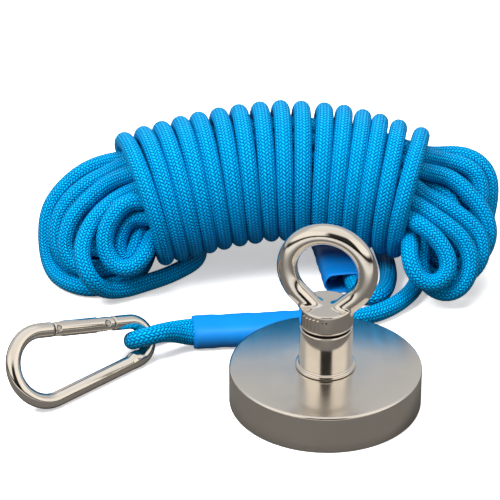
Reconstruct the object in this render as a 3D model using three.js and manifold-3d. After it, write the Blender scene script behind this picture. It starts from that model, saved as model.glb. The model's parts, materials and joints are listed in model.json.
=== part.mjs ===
// Magnet fishing set: a pot magnet with a screwed neck and a lifting eyebolt, and a braided rope
// wound into a hank, with a sleeved eye at each end and a snap hook in one of them.
// Millimetres, +Z up. The origin is the middle of the magnet's pulling face, which lies on the ground.
import * as THREE from 'three';
import { mergeVertices } from 'three/addons/utils/BufferGeometryUtils.js';
import Module from 'manifold-3d';

const wasm = await Module();
wasm.setup();

// ---------- Clearances ----------
const touchGap = 0.3;
const slideGap = 0.3;
const pinGap = 0.25;

// ---------- Magnet ----------
const potDiameter = 90;
const potHeight = 19;
const potRimWidth = 6;
const potTopThickness = 7;
const potEdgeRound = 1;
const magnetDepth = 11;
const resinWidth = 2.2;
const bushOuterDiameter = 24;
const bushBore = 8.6;
const faceRecess = 0.4;
const screwDiameter = 8;
const screwHeadDiameter = 16;
const screwHeadHeight = 4.4;
const screwReach = 7;
const driveAcross = 5;
const driveDepth = 3;

// ---------- Neck ----------
const neckDiameter = 24.8;
const neckHeight = 21.2;
const neckFootDiameter = 28;
const neckFootHeight = 1.4;
const neckEdge = 0.8;
const neckBoreDepth = 13;
const washerThickness = 0.8;
const washerDiameter = 22;

// ---------- Eyebolt ----------
const boltThread = 10;
const boltThreadLength = 12;
const collarDiameter = 25;
const collarHeight = 10.2;
const collarEdge = 0.7;
const eyeWire = 9.5;
const eyeInsideDiameter = 28;
const eyeCentreHeight = 28;
const eyeLegAngle = 45;
const eyeLegEndHeight = 5.5;
const eyeTurn = -14;

// ---------- Snap hook: a pear of two arcs and two straights, lying on its long side ----------
const hookWire = 7.2;
const hookWideRadius = 16.6;
const hookNarrowRadius = 9.3;
const hookCentres = 51;
const hookEyePlace = [-84.67, -5.93];
const hookHeading = 43.5;
const hookLean = 57;
const gateDiameter = 7.6;
const gateNose = 6.7;
const gateNoseGap = 0.5;
const gateRivet = 36.3;
const gateEndRound = 4.2;
const gateBore = 4.6;
const gateSlot = 3.2;
const gateSlotPastRivet = 4.6;
const gateForkDepth = 5.2;
const gateForkWall = 1.5;
const tongueThickness = 2.6;
const tongueHeight = 4.6;
const tongueReach = 4.2;
const notchWidth = 2.7;
const latchPinDiameter = 2;
const latchPinFromNose = 2.4;
const latchPinShort = 0.6;
const rivetDiameter = 2.4;
const springWire = 0.7;
const springDiameter = 4;
const springTurns = 5;
const springLength = 12;
const plungerLength = 4;
const plungerDiameter = 4;

// ---------- Rope ----------
const ropeDiameter = 8.8;
const ropeSides = 10;
const sleeveWall = 1;
const strandGap = 0.4;
const straightOut = 3;

// ---------- Hank: turns round a bent middle, and loops standing out of both its ends ----------
const hankMiddle = [-22, 85, 50.5];
const hankWraps = 16;
const hankWrapPitch = 8.8;
const hankMiddleRadius = 38;
const hankEndRadius = 34;
const hankBendForward = 9;
const hankDroop = 7;
const loopsLean = 60;
const loopsThickness = 46;
const loopsRound = 10;
const leftLoops = { middle: [-98, 68.4, 30.4], halfWidth: 42, halfHeight: 40 };
const rightLoops = { middle: [60, 68.4, 30.4], halfWidth: 29, halfHeight: 40 };

// ---------- Rope routes where the rope isn't wound, chosen by hand, from behind the pot's edge ----------
const clipSleeveRoute = [[-63, 5.3, 5.8], [-40, 7.4, 5.8], [-16, 9.8, 5.8], [8, 13.2, 5.8]];
const clipEyeRoute = [
  [-69, -2.7, 9.3], [-74.5, -6.8, 13.2], [-79.6, -11.1, 15.1], [-82.6, -12.95, 15.1],
  [-85.9, -13.6, 14.4], [-91.5, -11.4, 11.35], [-93.1, -6, 7.65], [-89.8, -0.55, 5.5],
  [-84, 4.1, 4.8], [-77, 7.9, 4.7], [-70, 9.6, 5.1],
];
const tailRoute = [
  [14, 19.5, 5.2], [22, 22, 4.7], [30, 26.5, 4.6], [38, 34, 4.6], [45, 44, 4.6],
  [49.5, 55, 4.8], [51.5, 65, 7], [49, 74, 13], [43, 77, 22], [36, 75, 31],
];
const farSleeveRoute = [[12.5, 52, 5.8], [9.6, 73, 5.8], [6.6, 95, 5.8], [3.2, 118, 5.8]];
const farEyeRoute = [
  [-4.2, 126, 5.2], [-7.2, 134.5, 4.8], [-6.6, 143, 4.7], [-0.3, 148.4, 4.7],
  [7.3, 145.6, 4.7], [10.6, 137.6, 4.8], [9.7, 128.5, 5.2],
];
const farLeadRoute = [
  [19.4, 42.3, 4.7], [24.6, 38.3, 4.6], [30.2, 41.6, 4.6], [33, 49, 4.7], [35, 58, 5.2],
  [36.5, 67, 8], [37, 74, 14], [35.5, 80, 22],
];

// ---------- Materials ----------
const steel = (color, roughness) => new THREE.MeshStandardMaterial({ color, roughness, metalness: 1 });
const soft = (color, roughness) => new THREE.MeshStandardMaterial({ color, roughness, metalness: 0 });
const finishes = {
  nickel: () => steel(0xc9bfb2, 0.12),
  magnet: () => steel(0xb8bcc0, 0.3),
  zinc: () => steel(0xa9a9a4, 0.35),
  brass: () => steel(0xb08d4a, 0.35),
  resin: () => soft(0x1c1c1e, 0.45),
  rubber: () => soft(0x141414, 0.8),
  rope: () => soft(0x1793d6, 0.75),
  sleeve: () => soft(0x1a87dc, 0.35),
};

// ---------- Solids ----------
function solidOf(geometry) {
  const bare = geometry.index ? geometry.toNonIndexed() : geometry.clone();
  bare.deleteAttribute('normal');
  bare.deleteAttribute('uv');
  const merged = mergeVertices(bare, 1e-4);
  const mesh = new wasm.Mesh({
    numProp: 3,
    vertProperties: new Float32Array(merged.attributes.position.array),
    triVerts: new Uint32Array(merged.index.array),
  });
  return new wasm.Manifold(mesh);
}

function geometryOf(solid) {
  const mesh = solid.getMesh();
  const geometry = new THREE.BufferGeometry();
  geometry.setAttribute('position', new THREE.BufferAttribute(mesh.vertProperties, mesh.numProp));
  geometry.setIndex(new THREE.BufferAttribute(mesh.triVerts, 1));
  geometry.computeVertexNormals();
  return geometry;
}

function unite(geometries) {
  return geometryOf(geometries.map(solidOf).reduce((sum, next) => sum.add(next)));
}

function cut(geometry, tools) {
  return geometryOf(tools.map(solidOf).reduce((rest, tool) => rest.subtract(tool), solidOf(geometry)));
}

// A turned shape about Z, from its closed profile of [radius, height] points.
function turned(profile, segments) {
  const points = profile.map(([radius, height]) => new THREE.Vector2(radius, height));
  return new THREE.LatheGeometry(points, segments).rotateX(Math.PI / 2);
}

function rod(diameter, low, high, segments = 32) {
  const radius = diameter / 2;
  return turned([[0, low], [radius, low], [radius, high], [0, high]], segments);
}

function tubeRing(outer, inner, low, high, segments) {
  return turned([
    [inner / 2, low], [outer / 2, low], [outer / 2, high], [inner / 2, high], [inner / 2, low],
  ], segments);
}

function block(sizes, centre) {
  return new THREE.BoxGeometry(...sizes).translate(...centre);
}

function circleShape(diameter, sides) {
  const points = [];
  for (let side = 0; side < sides; side += 1) {
    const angle = (2 * Math.PI * (side + 0.5)) / sides;
    points.push(new THREE.Vector2(Math.cos(angle), Math.sin(angle)).multiplyScalar(diameter / 2));
  }
  return new THREE.Shape(points);
}

function sweep(shape, curve, steps) {
  const settings = { steps, bevelEnabled: false, extrudePath: curve, curveSegments: 8 };
  return new THREE.ExtrudeGeometry(shape, settings);
}

function smoothCurve(points) {
  const places = points.map((point) => new THREE.Vector3(...point));
  return new THREE.CatmullRomCurve3(places, false, 'centripetal');
}

// ---------- Magnet ----------
const potRadius = potDiameter / 2;
const cavityRadius = potRadius - potRimWidth;
const magnetTop = potHeight - potTopThickness - touchGap;
const magnetBottom = magnetTop - magnetDepth + faceRecess;
const magnetOuter = 2 * (cavityRadius - resinWidth);
const magnetInner = bushOuterDiameter + 2 * touchGap;
const neckTop = potHeight + touchGap + neckHeight;
const collarBottom = neckTop + touchGap + washerThickness + touchGap;

function steelPot() {
  const round = potEdgeRound;
  return turned([
    [bushBore / 2, potHeight - potTopThickness], [cavityRadius, potHeight - potTopThickness],
    [cavityRadius, 0], [potRadius - round / 2, 0], [potRadius, round / 2],
    [potRadius, potHeight - round], [potRadius - round * 0.3, potHeight - round * 0.3],
    [potRadius - round, potHeight], [bushBore / 2, potHeight],
    [bushBore / 2, potHeight - potTopThickness],
  ], 96);
}

function magnetRing() {
  return tubeRing(magnetOuter, magnetInner, magnetBottom, magnetTop, 72);
}

function resinRing() {
  const inner = magnetOuter + 2 * touchGap;
  const outer = 2 * (cavityRadius - touchGap);
  return tubeRing(outer, inner, magnetBottom, magnetTop, 72);
}

function centreBush() {
  const head = screwHeadDiameter / 2 + touchGap;
  const bore = bushBore / 2;
  const coneTop = magnetBottom + screwHeadHeight + touchGap;
  return turned([
    [head, magnetBottom], [bushOuterDiameter / 2, magnetBottom], [bushOuterDiameter / 2, magnetTop],
    [bore, magnetTop], [bore, coneTop + touchGap], [head, magnetBottom],
  ], 48);
}

function countersunkScrew() {
  const head = screwHeadDiameter / 2;
  const shank = screwDiameter / 2;
  const screwTop = potHeight + screwReach;
  const body = turned([
    [0, magnetBottom], [head - 0.2, magnetBottom], [shank, magnetBottom + screwHeadHeight],
    [shank, screwTop - 1], [shank - 1, screwTop], [0, screwTop],
  ], 32);
  const drive = rod(driveAcross * 2 / Math.sqrt(3), -1, magnetBottom + driveDepth, 6);
  return cut(body, [drive]);
}

function threadedNeck() {
  const low = potHeight + touchGap;
  const neck = neckDiameter / 2;
  const foot = neckFootDiameter / 2;
  const screwHole = screwDiameter / 2 + slideGap;
  const boltHole = boltThread / 2 + slideGap;
  const screwHoleTop = low + screwReach + touchGap;
  const boltHoleLow = neckTop - neckBoreDepth;
  return turned([
    [screwHole, low], [foot, low], [foot, low + neckFootHeight * 0.6],
    [foot - neckFootHeight * 0.4, low + neckFootHeight], [neck, low + neckFootHeight],
    [neck, neckTop - neckEdge], [neck - neckEdge, neckTop], [boltHole, neckTop],
    [boltHole, boltHoleLow], [screwHole, screwHoleTop], [screwHole, low],
  ], 64);
}

function sealingWasher() {
  const low = neckTop + touchGap;
  return tubeRing(washerDiameter, boltThread + 2 * slideGap, low, low + washerThickness, 48);
}

// ---------- Eyebolt: built about its own axis, with z = 0 at the underside of the collar ----------
const eyeRadius = (eyeInsideDiameter + eyeWire) / 2;

// The eye's middle line: most of a circle, whose two ends run on straight into the collar.
function eyePath() {
  const leg = THREE.MathUtils.degToRad(eyeLegAngle);
  const onCircle = (angle) => new THREE.Vector3(
    eyeRadius * Math.cos(angle), 0, eyeCentreHeight + eyeRadius * Math.sin(angle),
  );
  const start = onCircle(Math.PI + leg);
  const along = new THREE.Vector3(Math.sin(leg), 0, -Math.cos(leg));
  const legLength = (start.z - eyeLegEndHeight) / Math.cos(leg);
  const legParts = [1, 2 / 3, 1 / 3];
  const leftLeg = legParts.map((part) => start.clone().addScaledVector(along, legLength * part));
  const rightLeg = leftLeg.map((point) => new THREE.Vector3(-point.x, 0, point.z)).reverse();
  const arc = [];
  const arcSteps = 36;
  for (let step = 0; step <= arcSteps; step += 1) {
    const angle = Math.PI + leg - (step / arcSteps) * (Math.PI + 2 * leg);
    arc.push(onCircle(angle));
  }
  return new THREE.CatmullRomCurve3([...leftLeg, ...arc, ...rightLeg], false, 'centripetal');
}

function eyebolt() {
  const collar = collarDiameter / 2;
  const thread = boltThread / 2;
  const core = turned([
    [0, -boltThreadLength], [thread - 1, -boltThreadLength], [thread, 1 - boltThreadLength], [thread, 0],
    [collar - collarEdge, 0], [collar, collarEdge], [collar, collarHeight - collarEdge],
    [collar - collarEdge, collarHeight], [0, collarHeight],
  ], 48);
  const ring = sweep(circleShape(eyeWire, 16), eyePath(), 44);
  return unite([core, ring]);
}

// ---------- Snap hook: x along its length, z across it, y through it ----------
const hookTaper = Math.asin((hookWideRadius - hookNarrowRadius) / hookCentres);
const gateSide = new THREE.Vector3(Math.cos(hookTaper), 0, -Math.sin(hookTaper));
const gateAcross = new THREE.Vector3(Math.sin(hookTaper), 0, Math.cos(hookTaper));
const gateOrigin = gateAcross.clone().multiplyScalar(hookWideRadius);
const shoulder = gateRivet + gateEndRound + touchGap;

// A point on the gate side, at a distance along it from the wide arc.
function onGateSide(distance, aside = 0) {
  return gateOrigin.clone().addScaledVector(gateSide, distance).addScaledVector(gateAcross, aside);
}

// Moves a shape made along +X from the wide arc's end onto the gate side.
function toGateSide(geometry) {
  return geometry.rotateY(hookTaper).translate(gateOrigin.x, gateOrigin.y, gateOrigin.z);
}

function hookWirePath() {
  const arc = (centre, radius, from, to) => {
    const points = [];
    const steps = 24;
    for (let step = 0; step <= steps; step += 1) {
      const angle = from + ((to - from) * step) / steps;
      points.push(new THREE.Vector3(centre + radius * Math.cos(angle), 0, radius * Math.sin(angle)));
    }
    return points;
  };
  const top = Math.PI / 2 - hookTaper;
  const wide = arc(0, hookWideRadius, top, 2 * Math.PI - top);
  const narrow = arc(hookCentres, hookNarrowRadius, -top, top);
  const between = (from, to, count) => Array.from({ length: count }, (_, index) => (
    from.clone().lerp(to, (index + 1) / (count + 1))
  ));
  const points = [
    onGateSide(gateNose), ...between(onGateSide(gateNose), wide[0], 1), ...wide,
    ...between(wide.at(-1), narrow[0], 4), ...narrow,
    ...between(narrow.at(-1), onGateSide(shoulder), 2), onGateSide(shoulder),
  ];
  return new THREE.CatmullRomCurve3(points, false, 'centripetal');
}

// A flat tongue along the gate side, inside the width of the wire.
function tongue(low, high) {
  return block([high - low, tongueThickness, tongueHeight], [(low + high) / 2, 0, 0]);
}

function crossPin(diameter, length, at, segments = 20) {
  return new THREE.CylinderGeometry(diameter / 2, diameter / 2, length, segments).translate(at, 0, 0);
}

function hookBody() {
  const wire = sweep(circleShape(hookWire, 14), hookWirePath(), 66);
  const nose = toGateSide(tongue(gateNose - hookWire / 2, gateNose + tongueReach));
  const tang = toGateSide(tongue(gateRivet, shoulder + hookWire / 2));
  const knuckle = toGateSide(
    new THREE.CylinderGeometry(tongueHeight / 2, tongueHeight / 2, tongueThickness, 32)
      .translate(gateRivet, 0, 0),
  );
  const pinAt = gateNose + latchPinFromNose;
  const notchDepth = hookWire;
  const notch = toGateSide(block(
    [notchWidth, hookWire, notchDepth],
    [pinAt, 0, (latchPinDiameter + 2 * pinGap) / 2 - notchDepth / 2],
  ));
  const rivetHole = toGateSide(crossPin(rivetDiameter + 2 * pinGap, hookWire, gateRivet));
  return cut(unite([wire, nose, tang, knuckle]), [notch, rivetHole]);
}

function gate() {
  const low = gateNose + gateNoseGap;
  const high = gateRivet + gateEndRound;
  const barrel = new THREE.CylinderGeometry(gateDiameter / 2, gateDiameter / 2, high - low, 32)
    .rotateZ(Math.PI / 2).translate((low + high) / 2, 0, 0);
  const roundEnd = new THREE.CylinderGeometry(gateEndRound, gateEndRound, 2 * gateDiameter, 40)
    .translate(gateRivet, 0, 0);
  const straightLow = low - 1;
  const straightPart = block(
    [gateRivet - straightLow, 2 * gateDiameter, 2 * gateDiameter],
    [(gateRivet + straightLow) / 2, 0, 0],
  );
  const keep = solidOf(roundEnd).add(solidOf(straightPart));
  const rounded = geometryOf(solidOf(barrel).intersect(keep));
  const boreLow = low + gateForkDepth + gateForkWall;
  const bore = new THREE.CylinderGeometry(gateBore / 2, gateBore / 2, high - boreLow + 2, 24)
    .rotateZ(Math.PI / 2).translate((high + boreLow + 2) / 2, 0, 0);
  const slotLow = gateRivet - gateSlotPastRivet;
  const deep = 2 * gateDiameter;
  const hingeSlot = block([high - slotLow + 2, gateSlot, deep], [(high + slotLow + 2) / 2, 0, 0]);
  const forkSlot = block([gateForkDepth + 2, gateSlot, deep], [low + (gateForkDepth - 2) / 2, 0, 0]);
  const pinHole = crossPin(latchPinDiameter + 2 * pinGap, 2 * gateDiameter, gateNose + latchPinFromNose);
  const rivetHole = crossPin(rivetDiameter + 2 * pinGap, 2 * gateDiameter, gateRivet);
  return toGateSide(cut(rounded, [bore, hingeSlot, forkSlot, pinHole, rivetHole]));
}

function gateSpring() {
  const turns = springTurns;
  const radius = (springDiameter - springWire) / 2;
  const start = gateRivet - gateSlotPastRivet - plungerLength - touchGap - springLength;
  const points = [];
  const perTurn = 10;
  for (let step = 0; step <= turns * perTurn; step += 1) {
    const angle = (2 * Math.PI * step) / perTurn;
    const along = start + springWire / 2 + ((springLength - springWire) * step) / (turns * perTurn);
    points.push(new THREE.Vector3(along, radius * Math.cos(angle), radius * Math.sin(angle)));
  }
  const coil = sweep(circleShape(springWire, 6), new THREE.CatmullRomCurve3(points), turns * perTurn);
  return toGateSide(coil);
}

function springPlunger() {
  const high = gateRivet - tongueHeight / 2 - touchGap;
  const low = gateRivet - gateSlotPastRivet - plungerLength;
  const tip = new THREE.CylinderGeometry(tongueThickness / 2, tongueThickness / 2, high - low, 16);
  const body = new THREE.CylinderGeometry(plungerDiameter / 2, plungerDiameter / 2, plungerLength, 24);
  tip.rotateZ(Math.PI / 2).translate((low + high) / 2, 0, 0);
  body.rotateZ(Math.PI / 2).translate(low + plungerLength / 2, 0, 0);
  return toGateSide(unite([tip, body]));
}

// ---------- Rope ----------
const strandOffset = (ropeDiameter + strandGap) / 2;

// The line of one strand that lies beside a sleeve's middle line.
function besideRoute(route, aside) {
  const curve = smoothCurve(route);
  return route.map((point, index) => {
    const along = curve.getTangent(index / (route.length - 1));
    const across = new THREE.Vector3(-along.y, along.x, 0).normalize();
    return [point[0] + across.x * aside, point[1] + across.y * aside, point[2]];
  });
}

function ropeTube(route, steps) {
  return sweep(circleShape(ropeDiameter, ropeSides), smoothCurve(route), steps);
}

// A route made longer by a straight piece past its last end, and past its first one if asked.
function pastEnds(route, extra, both = true) {
  const curve = smoothCurve(route);
  const before = curve.getPoint(0).addScaledVector(curve.getTangent(0), -extra).toArray();
  const after = curve.getPoint(1).addScaledVector(curve.getTangent(1), extra).toArray();
  return both ? [before, ...route, after] : [...route, after];
}

// An oblong section, long side across the route, round two strands lying side by side.
function oblong(clearRadius) {
  const shape = new THREE.Shape();
  shape.absarc(0, strandOffset, clearRadius, 0, Math.PI, false);
  shape.absarc(0, -strandOffset, clearRadius, Math.PI, 2 * Math.PI, false);
  return shape.closePath();
}

function sleeve(route) {
  const inner = ropeDiameter / 2 + strandGap;
  const outside = sweep(oblong(inner + sleeveWall), smoothCurve(route), 8);
  const inside = sweep(oblong(inner), smoothCurve(pastEnds(route, 2)), 10);
  return cut(outside, [inside]);
}

const hankHalf = (hankWraps * hankWrapPitch) / 2;

// The bent axis of the hank: how far forward and down it has come at a distance from its middle.
function hankFrame(distance) {
  const share = distance / hankHalf;
  const place = new THREE.Vector3(
    hankMiddle[0] + distance,
    hankMiddle[1] - hankBendForward * share * share,
    hankMiddle[2] - hankDroop * share * share,
  );
  const along = new THREE.Vector3(
    1, (-2 * hankBendForward * share) / hankHalf, (-2 * hankDroop * share) / hankHalf,
  ).normalize();
  const side = new THREE.Vector3(0, 0, 1).cross(along).normalize();
  const up = along.clone().cross(side);
  return { place, along, side, up };
}

function hankRadius(distance) {
  const share = distance / hankHalf;
  return hankMiddleRadius - (hankMiddleRadius - hankEndRadius) * share * share;
}

function hankWrapsSolid(grow = 0) {
  const round = ropeDiameter / 2;
  const half = hankHalf + grow;
  const profile = [new THREE.Vector2(0, -half)];
  const stations = 12;
  for (let station = 0; station <= stations; station += 1) {
    const distance = -half + (2 * half * station) / stations;
    const inset = station === 0 || station === stations ? round * 0.6 : 0;
    profile.push(new THREE.Vector2(hankRadius(distance) + grow - inset, distance));
  }
  profile.push(new THREE.Vector2(0, half));
  const barrel = new THREE.LatheGeometry(profile, 32);
  const places = barrel.attributes.position;
  for (let index = 0; index < places.count; index += 1) {
    const { place, side, up } = hankFrame(places.getY(index));
    const point = place.addScaledVector(up, places.getX(index)).addScaledVector(side, places.getZ(index));
    places.setXYZ(index, point.x, point.y, point.z);
  }
  return barrel;
}

function loopsSolid({ middle, halfWidth, halfHeight }, grow = 0) {
  const shape = new THREE.Shape();
  const flat = loopsRound;
  shape.absellipse(0, 0, halfWidth - flat + grow, halfHeight - flat + grow, 0, 2 * Math.PI, false, 0);
  const thick = loopsThickness - 2 * loopsRound + 2 * grow;
  const pillow = new THREE.ExtrudeGeometry(shape, {
    depth: thick,
    bevelEnabled: true,
    bevelThickness: flat,
    bevelSize: flat,
    bevelSegments: 3,
    curveSegments: 16,
  });
  pillow.translate(0, 0, -thick / 2);
  pillow.rotateX(THREE.MathUtils.degToRad(loopsLean));
  return pillow.translate(...middle);
}

function aboveGround(geometry) {
  const room = 1000;
  return cut(geometry, [block([room, room, room], [0, 0, -room / 2])]);
}

function hankLoops(loops, outward) {
  const inner = hankMiddle[0] + outward * (hankHalf - ropeDiameter);
  const room = 400;
  const innerSide = block([room, room, room], [inner - (outward * room) / 2, hankMiddle[1], 0]);
  return aboveGround(cut(loopsSolid(loops), [hankWrapsSolid(touchGap), innerSide]));
}

function clipEndRope() {
  const bare = pastEnds(besideRoute(clipSleeveRoute, -strandOffset).reverse(), straightOut, false);
  const lead = pastEnds(besideRoute(clipSleeveRoute, strandOffset), straightOut);
  const route = [...bare, ...clipEyeRoute, ...lead, ...tailRoute];
  const hank = [hankWrapsSolid(touchGap), loopsSolid(rightLoops, touchGap)];
  return cut(ropeTube(route, 80), hank);
}

function farEndRope() {
  const bare = pastEnds(besideRoute(farSleeveRoute, strandOffset), straightOut, false);
  const lead = pastEnds(besideRoute(farSleeveRoute, -strandOffset).reverse(), straightOut);
  const route = [...bare, ...farEyeRoute, ...lead, ...farLeadRoute];
  const hank = [hankWrapsSolid(touchGap), loopsSolid(rightLoops, touchGap)];
  return cut(ropeTube(route, 76), hank);
}

// ---------- Assembly ----------
const group = new THREE.Group();

function place(name, geometry, material, parent = group) {
  const mesh = new THREE.Mesh(geometry, material);
  mesh.name = name;
  parent.add(mesh);
  return mesh;
}

place('steel_pot', steelPot(), finishes.nickel());
place('magnet_ring', magnetRing(), finishes.magnet());
place('resin_ring', resinRing(), finishes.resin());
place('centre_bush', centreBush(), finishes.brass());
place('countersunk_screw', countersunkScrew(), finishes.zinc());
place('threaded_neck', threadedNeck(), finishes.nickel());
place('sealing_washer', sealingWasher(), finishes.rubber());

const boltGroup = new THREE.Group();
boltGroup.position.z = collarBottom;
boltGroup.rotation.z = THREE.MathUtils.degToRad(eyeTurn);
group.add(boltGroup);
place('eyebolt', eyebolt(), finishes.nickel(), boltGroup);

const ropeSet = new THREE.Group();
ropeSet.position.y = potRadius;
group.add(ropeSet);

const hookGroup = new THREE.Group();
ropeSet.add(hookGroup);
const lean = THREE.MathUtils.degToRad(hookLean);
const heading = THREE.MathUtils.degToRad(hookHeading);
const groundLine = new THREE.Vector3(Math.cos(heading), Math.sin(heading), 0);
const leanLine = new THREE.Vector3(-Math.sin(heading), Math.cos(heading), 0).multiplyScalar(Math.cos(lean));
leanLine.z = Math.sin(lean);
const hookAlong = groundLine.clone().multiplyScalar(Math.cos(hookTaper))
  .addScaledVector(leanLine, -Math.sin(hookTaper));
const hookAcross = groundLine.clone().multiplyScalar(Math.sin(hookTaper))
  .addScaledVector(leanLine, Math.cos(hookTaper));
const hookThrough = hookAcross.clone().cross(hookAlong);
const hookReach = hookCentres + hookNarrowRadius;
const hookAxes = new THREE.Matrix4().makeBasis(hookAlong, hookThrough, hookAcross);
hookGroup.quaternion.setFromRotationMatrix(hookAxes);
hookGroup.position.set(
  hookEyePlace[0] - hookReach * hookAlong.x,
  hookEyePlace[1] - hookReach * hookAlong.y,
  hookWideRadius * Math.sin(lean) + hookWire / 2,
);
place('hook_body', hookBody(), finishes.nickel(), hookGroup);
place('gate', gate(), finishes.nickel(), hookGroup);
const gatePivot = crossPin(rivetDiameter, gateDiameter, gateRivet);
place('gate_rivet', toGateSide(gatePivot), finishes.zinc(), hookGroup);
const latchPin = crossPin(latchPinDiameter, gateDiameter - latchPinShort, gateNose + latchPinFromNose);
place('latch_pin', toGateSide(latchPin), finishes.zinc(), hookGroup);
place('gate_spring', gateSpring(), finishes.zinc(), hookGroup);
place('spring_plunger', springPlunger(), finishes.zinc(), hookGroup);

place('clip_end_rope', clipEndRope(), finishes.rope(), ropeSet);
place('clip_end_sleeve', sleeve(clipSleeveRoute), finishes.sleeve(), ropeSet);
place('far_end_rope', farEndRope(), finishes.rope(), ropeSet);
place('far_end_sleeve', sleeve(farSleeveRoute), finishes.sleeve(), ropeSet);
place('hank_turns', hankWrapsSolid(), finishes.rope(), ropeSet);
place('hank_left_loops', hankLoops(leftLoops, -1), finishes.rope(), ropeSet);
place('hank_right_loops', hankLoops(rightLoops, 1), finishes.rope(), ropeSet);

export default group;
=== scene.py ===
"""Magnet fishing set: pot magnet with a lifting eye, a snap hook and a hank of braided rope."""
import json
import math

import bpy
import numpy as np
from mathutils import Matrix, Vector


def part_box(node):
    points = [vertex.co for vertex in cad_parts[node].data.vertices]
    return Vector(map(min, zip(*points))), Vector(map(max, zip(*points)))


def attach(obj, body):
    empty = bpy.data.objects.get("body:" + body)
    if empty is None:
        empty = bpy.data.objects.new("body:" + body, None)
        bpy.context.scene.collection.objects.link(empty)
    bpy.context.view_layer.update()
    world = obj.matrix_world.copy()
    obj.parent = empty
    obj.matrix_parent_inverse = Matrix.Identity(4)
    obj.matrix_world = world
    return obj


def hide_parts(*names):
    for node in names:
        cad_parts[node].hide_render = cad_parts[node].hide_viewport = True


bl_info = {
    "name": "Magnet Fishing Set",
    "version": (1, 0, 0),
    "blender": (4, 5, 0),
    "location": "View3D > Sidebar > Magnet Set",
    "description": "Builds a pot magnet with its lifting eye, snap hook and hank of braided rope",
    "category": "Object",
}

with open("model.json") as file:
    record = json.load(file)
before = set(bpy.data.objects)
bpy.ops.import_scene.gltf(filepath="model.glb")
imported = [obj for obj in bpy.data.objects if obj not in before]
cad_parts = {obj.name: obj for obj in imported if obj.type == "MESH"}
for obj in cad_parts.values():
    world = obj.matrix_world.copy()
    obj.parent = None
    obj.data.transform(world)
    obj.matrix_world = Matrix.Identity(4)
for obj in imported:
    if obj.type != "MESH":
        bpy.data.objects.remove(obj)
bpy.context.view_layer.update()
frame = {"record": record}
JOINTS = {joint["name"]: joint for joint in frame["record"]["behaviour"]["joints"]}

# ---------- Sizes shared by several pieces, in metres ----------
POT_LOW, POT_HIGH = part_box("steel_pot")
NECK_LOW, NECK_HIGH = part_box("threaded_neck")
EYEBOLT_LOW, EYEBOLT_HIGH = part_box("eyebolt")
WASHER_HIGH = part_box("sealing_washer")[1]
POT_RADIUS = POT_HIGH.x
TOUCH_GAP = 0.0003
COLLAR_BOTTOM = WASHER_HIGH.z + TOUCH_GAP
STRAND_GAP = 0.0004

# ---------- Rope routes where the rope isn't wound, from behind the pot's edge ----------
CLIP_SLEEVE_ROUTE = (
    (-0.063, 0.0053, 0.0058), (-0.040, 0.0074, 0.0058), (-0.016, 0.0098, 0.0058),
    (0.008, 0.0132, 0.0058),
)
CLIP_EYE_ROUTE = (
    (-0.069, -0.0027, 0.0093), (-0.0745, -0.0068, 0.0132), (-0.0796, -0.0111, 0.0151),
    (-0.0826, -0.01295, 0.0151), (-0.0859, -0.0136, 0.0144), (-0.0915, -0.0114, 0.01135),
    (-0.0931, -0.006, 0.00765), (-0.0898, -0.00055, 0.0055), (-0.084, 0.0041, 0.0048),
    (-0.077, 0.0079, 0.0047), (-0.070, 0.0096, 0.0051),
)
TAIL_ROUTE = (
    (0.014, 0.0195, 0.0052), (0.022, 0.022, 0.0047), (0.030, 0.0265, 0.0046),
    (0.038, 0.034, 0.0046), (0.045, 0.044, 0.0046), (0.0495, 0.055, 0.0048),
)
TAIL_RISE = ((0.0515, 0.065, 0.007), (0.049, 0.074, 0.013), (0.043, 0.077, 0.022))
FAR_SLEEVE_ROUTE = (
    (0.0125, 0.052, 0.0058), (0.0096, 0.073, 0.0058), (0.0066, 0.095, 0.0058),
    (0.0032, 0.118, 0.0058),
)
FAR_EYE_ROUTE = (
    (-0.0042, 0.126, 0.0052), (-0.0072, 0.1345, 0.0048), (-0.0066, 0.143, 0.0047),
    (-0.0003, 0.1484, 0.0047), (0.0073, 0.1456, 0.0047), (0.0106, 0.1376, 0.0048),
    (0.0097, 0.1285, 0.0052),
)
FAR_LEAD_ROUTE = (
    (0.0194, 0.0423, 0.0047), (0.0246, 0.0383, 0.0046), (0.0302, 0.0416, 0.0046),
    (0.033, 0.049, 0.0046), (0.035, 0.058, 0.0046),
)

# ---------- Hank ----------
HANK_MIDDLE = (-0.022, 0.130, 0.0505)
HANK_HALF = 0.0704
HANK_BEND_FORWARD = 0.009
HANK_DROOP = 0.007
TURN_PLACES = (
    -0.0676, -0.0587, -0.0506, -0.0422, -0.0341, -0.0249, -0.0160, -0.0066,
    0.0026, 0.0120, 0.0223, 0.0310, 0.0395, 0.0472, 0.0558, 0.0662,
)
TURN_STATIONS = (-0.072, -0.050, -0.025, 0.0, 0.030, 0.066)
TURN_RADII = (0.0314, 0.0318, 0.0318, 0.0318, 0.0318, 0.0298)
TURN_RISES = (-0.0034, -0.0026, -0.0004, 0.0018, 0.0016, 0.0)
HANK_UP = Vector((0.0, 0.496, 0.868))
HANK_FRONT = Vector((0.0, -0.868, 0.496))
OUTER_STRANDS = 14
INNER_STRANDS = 7
OUTER_STRAND_RADIUS = 0.0204
INNER_STRAND_RADIUS = 0.0102

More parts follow.
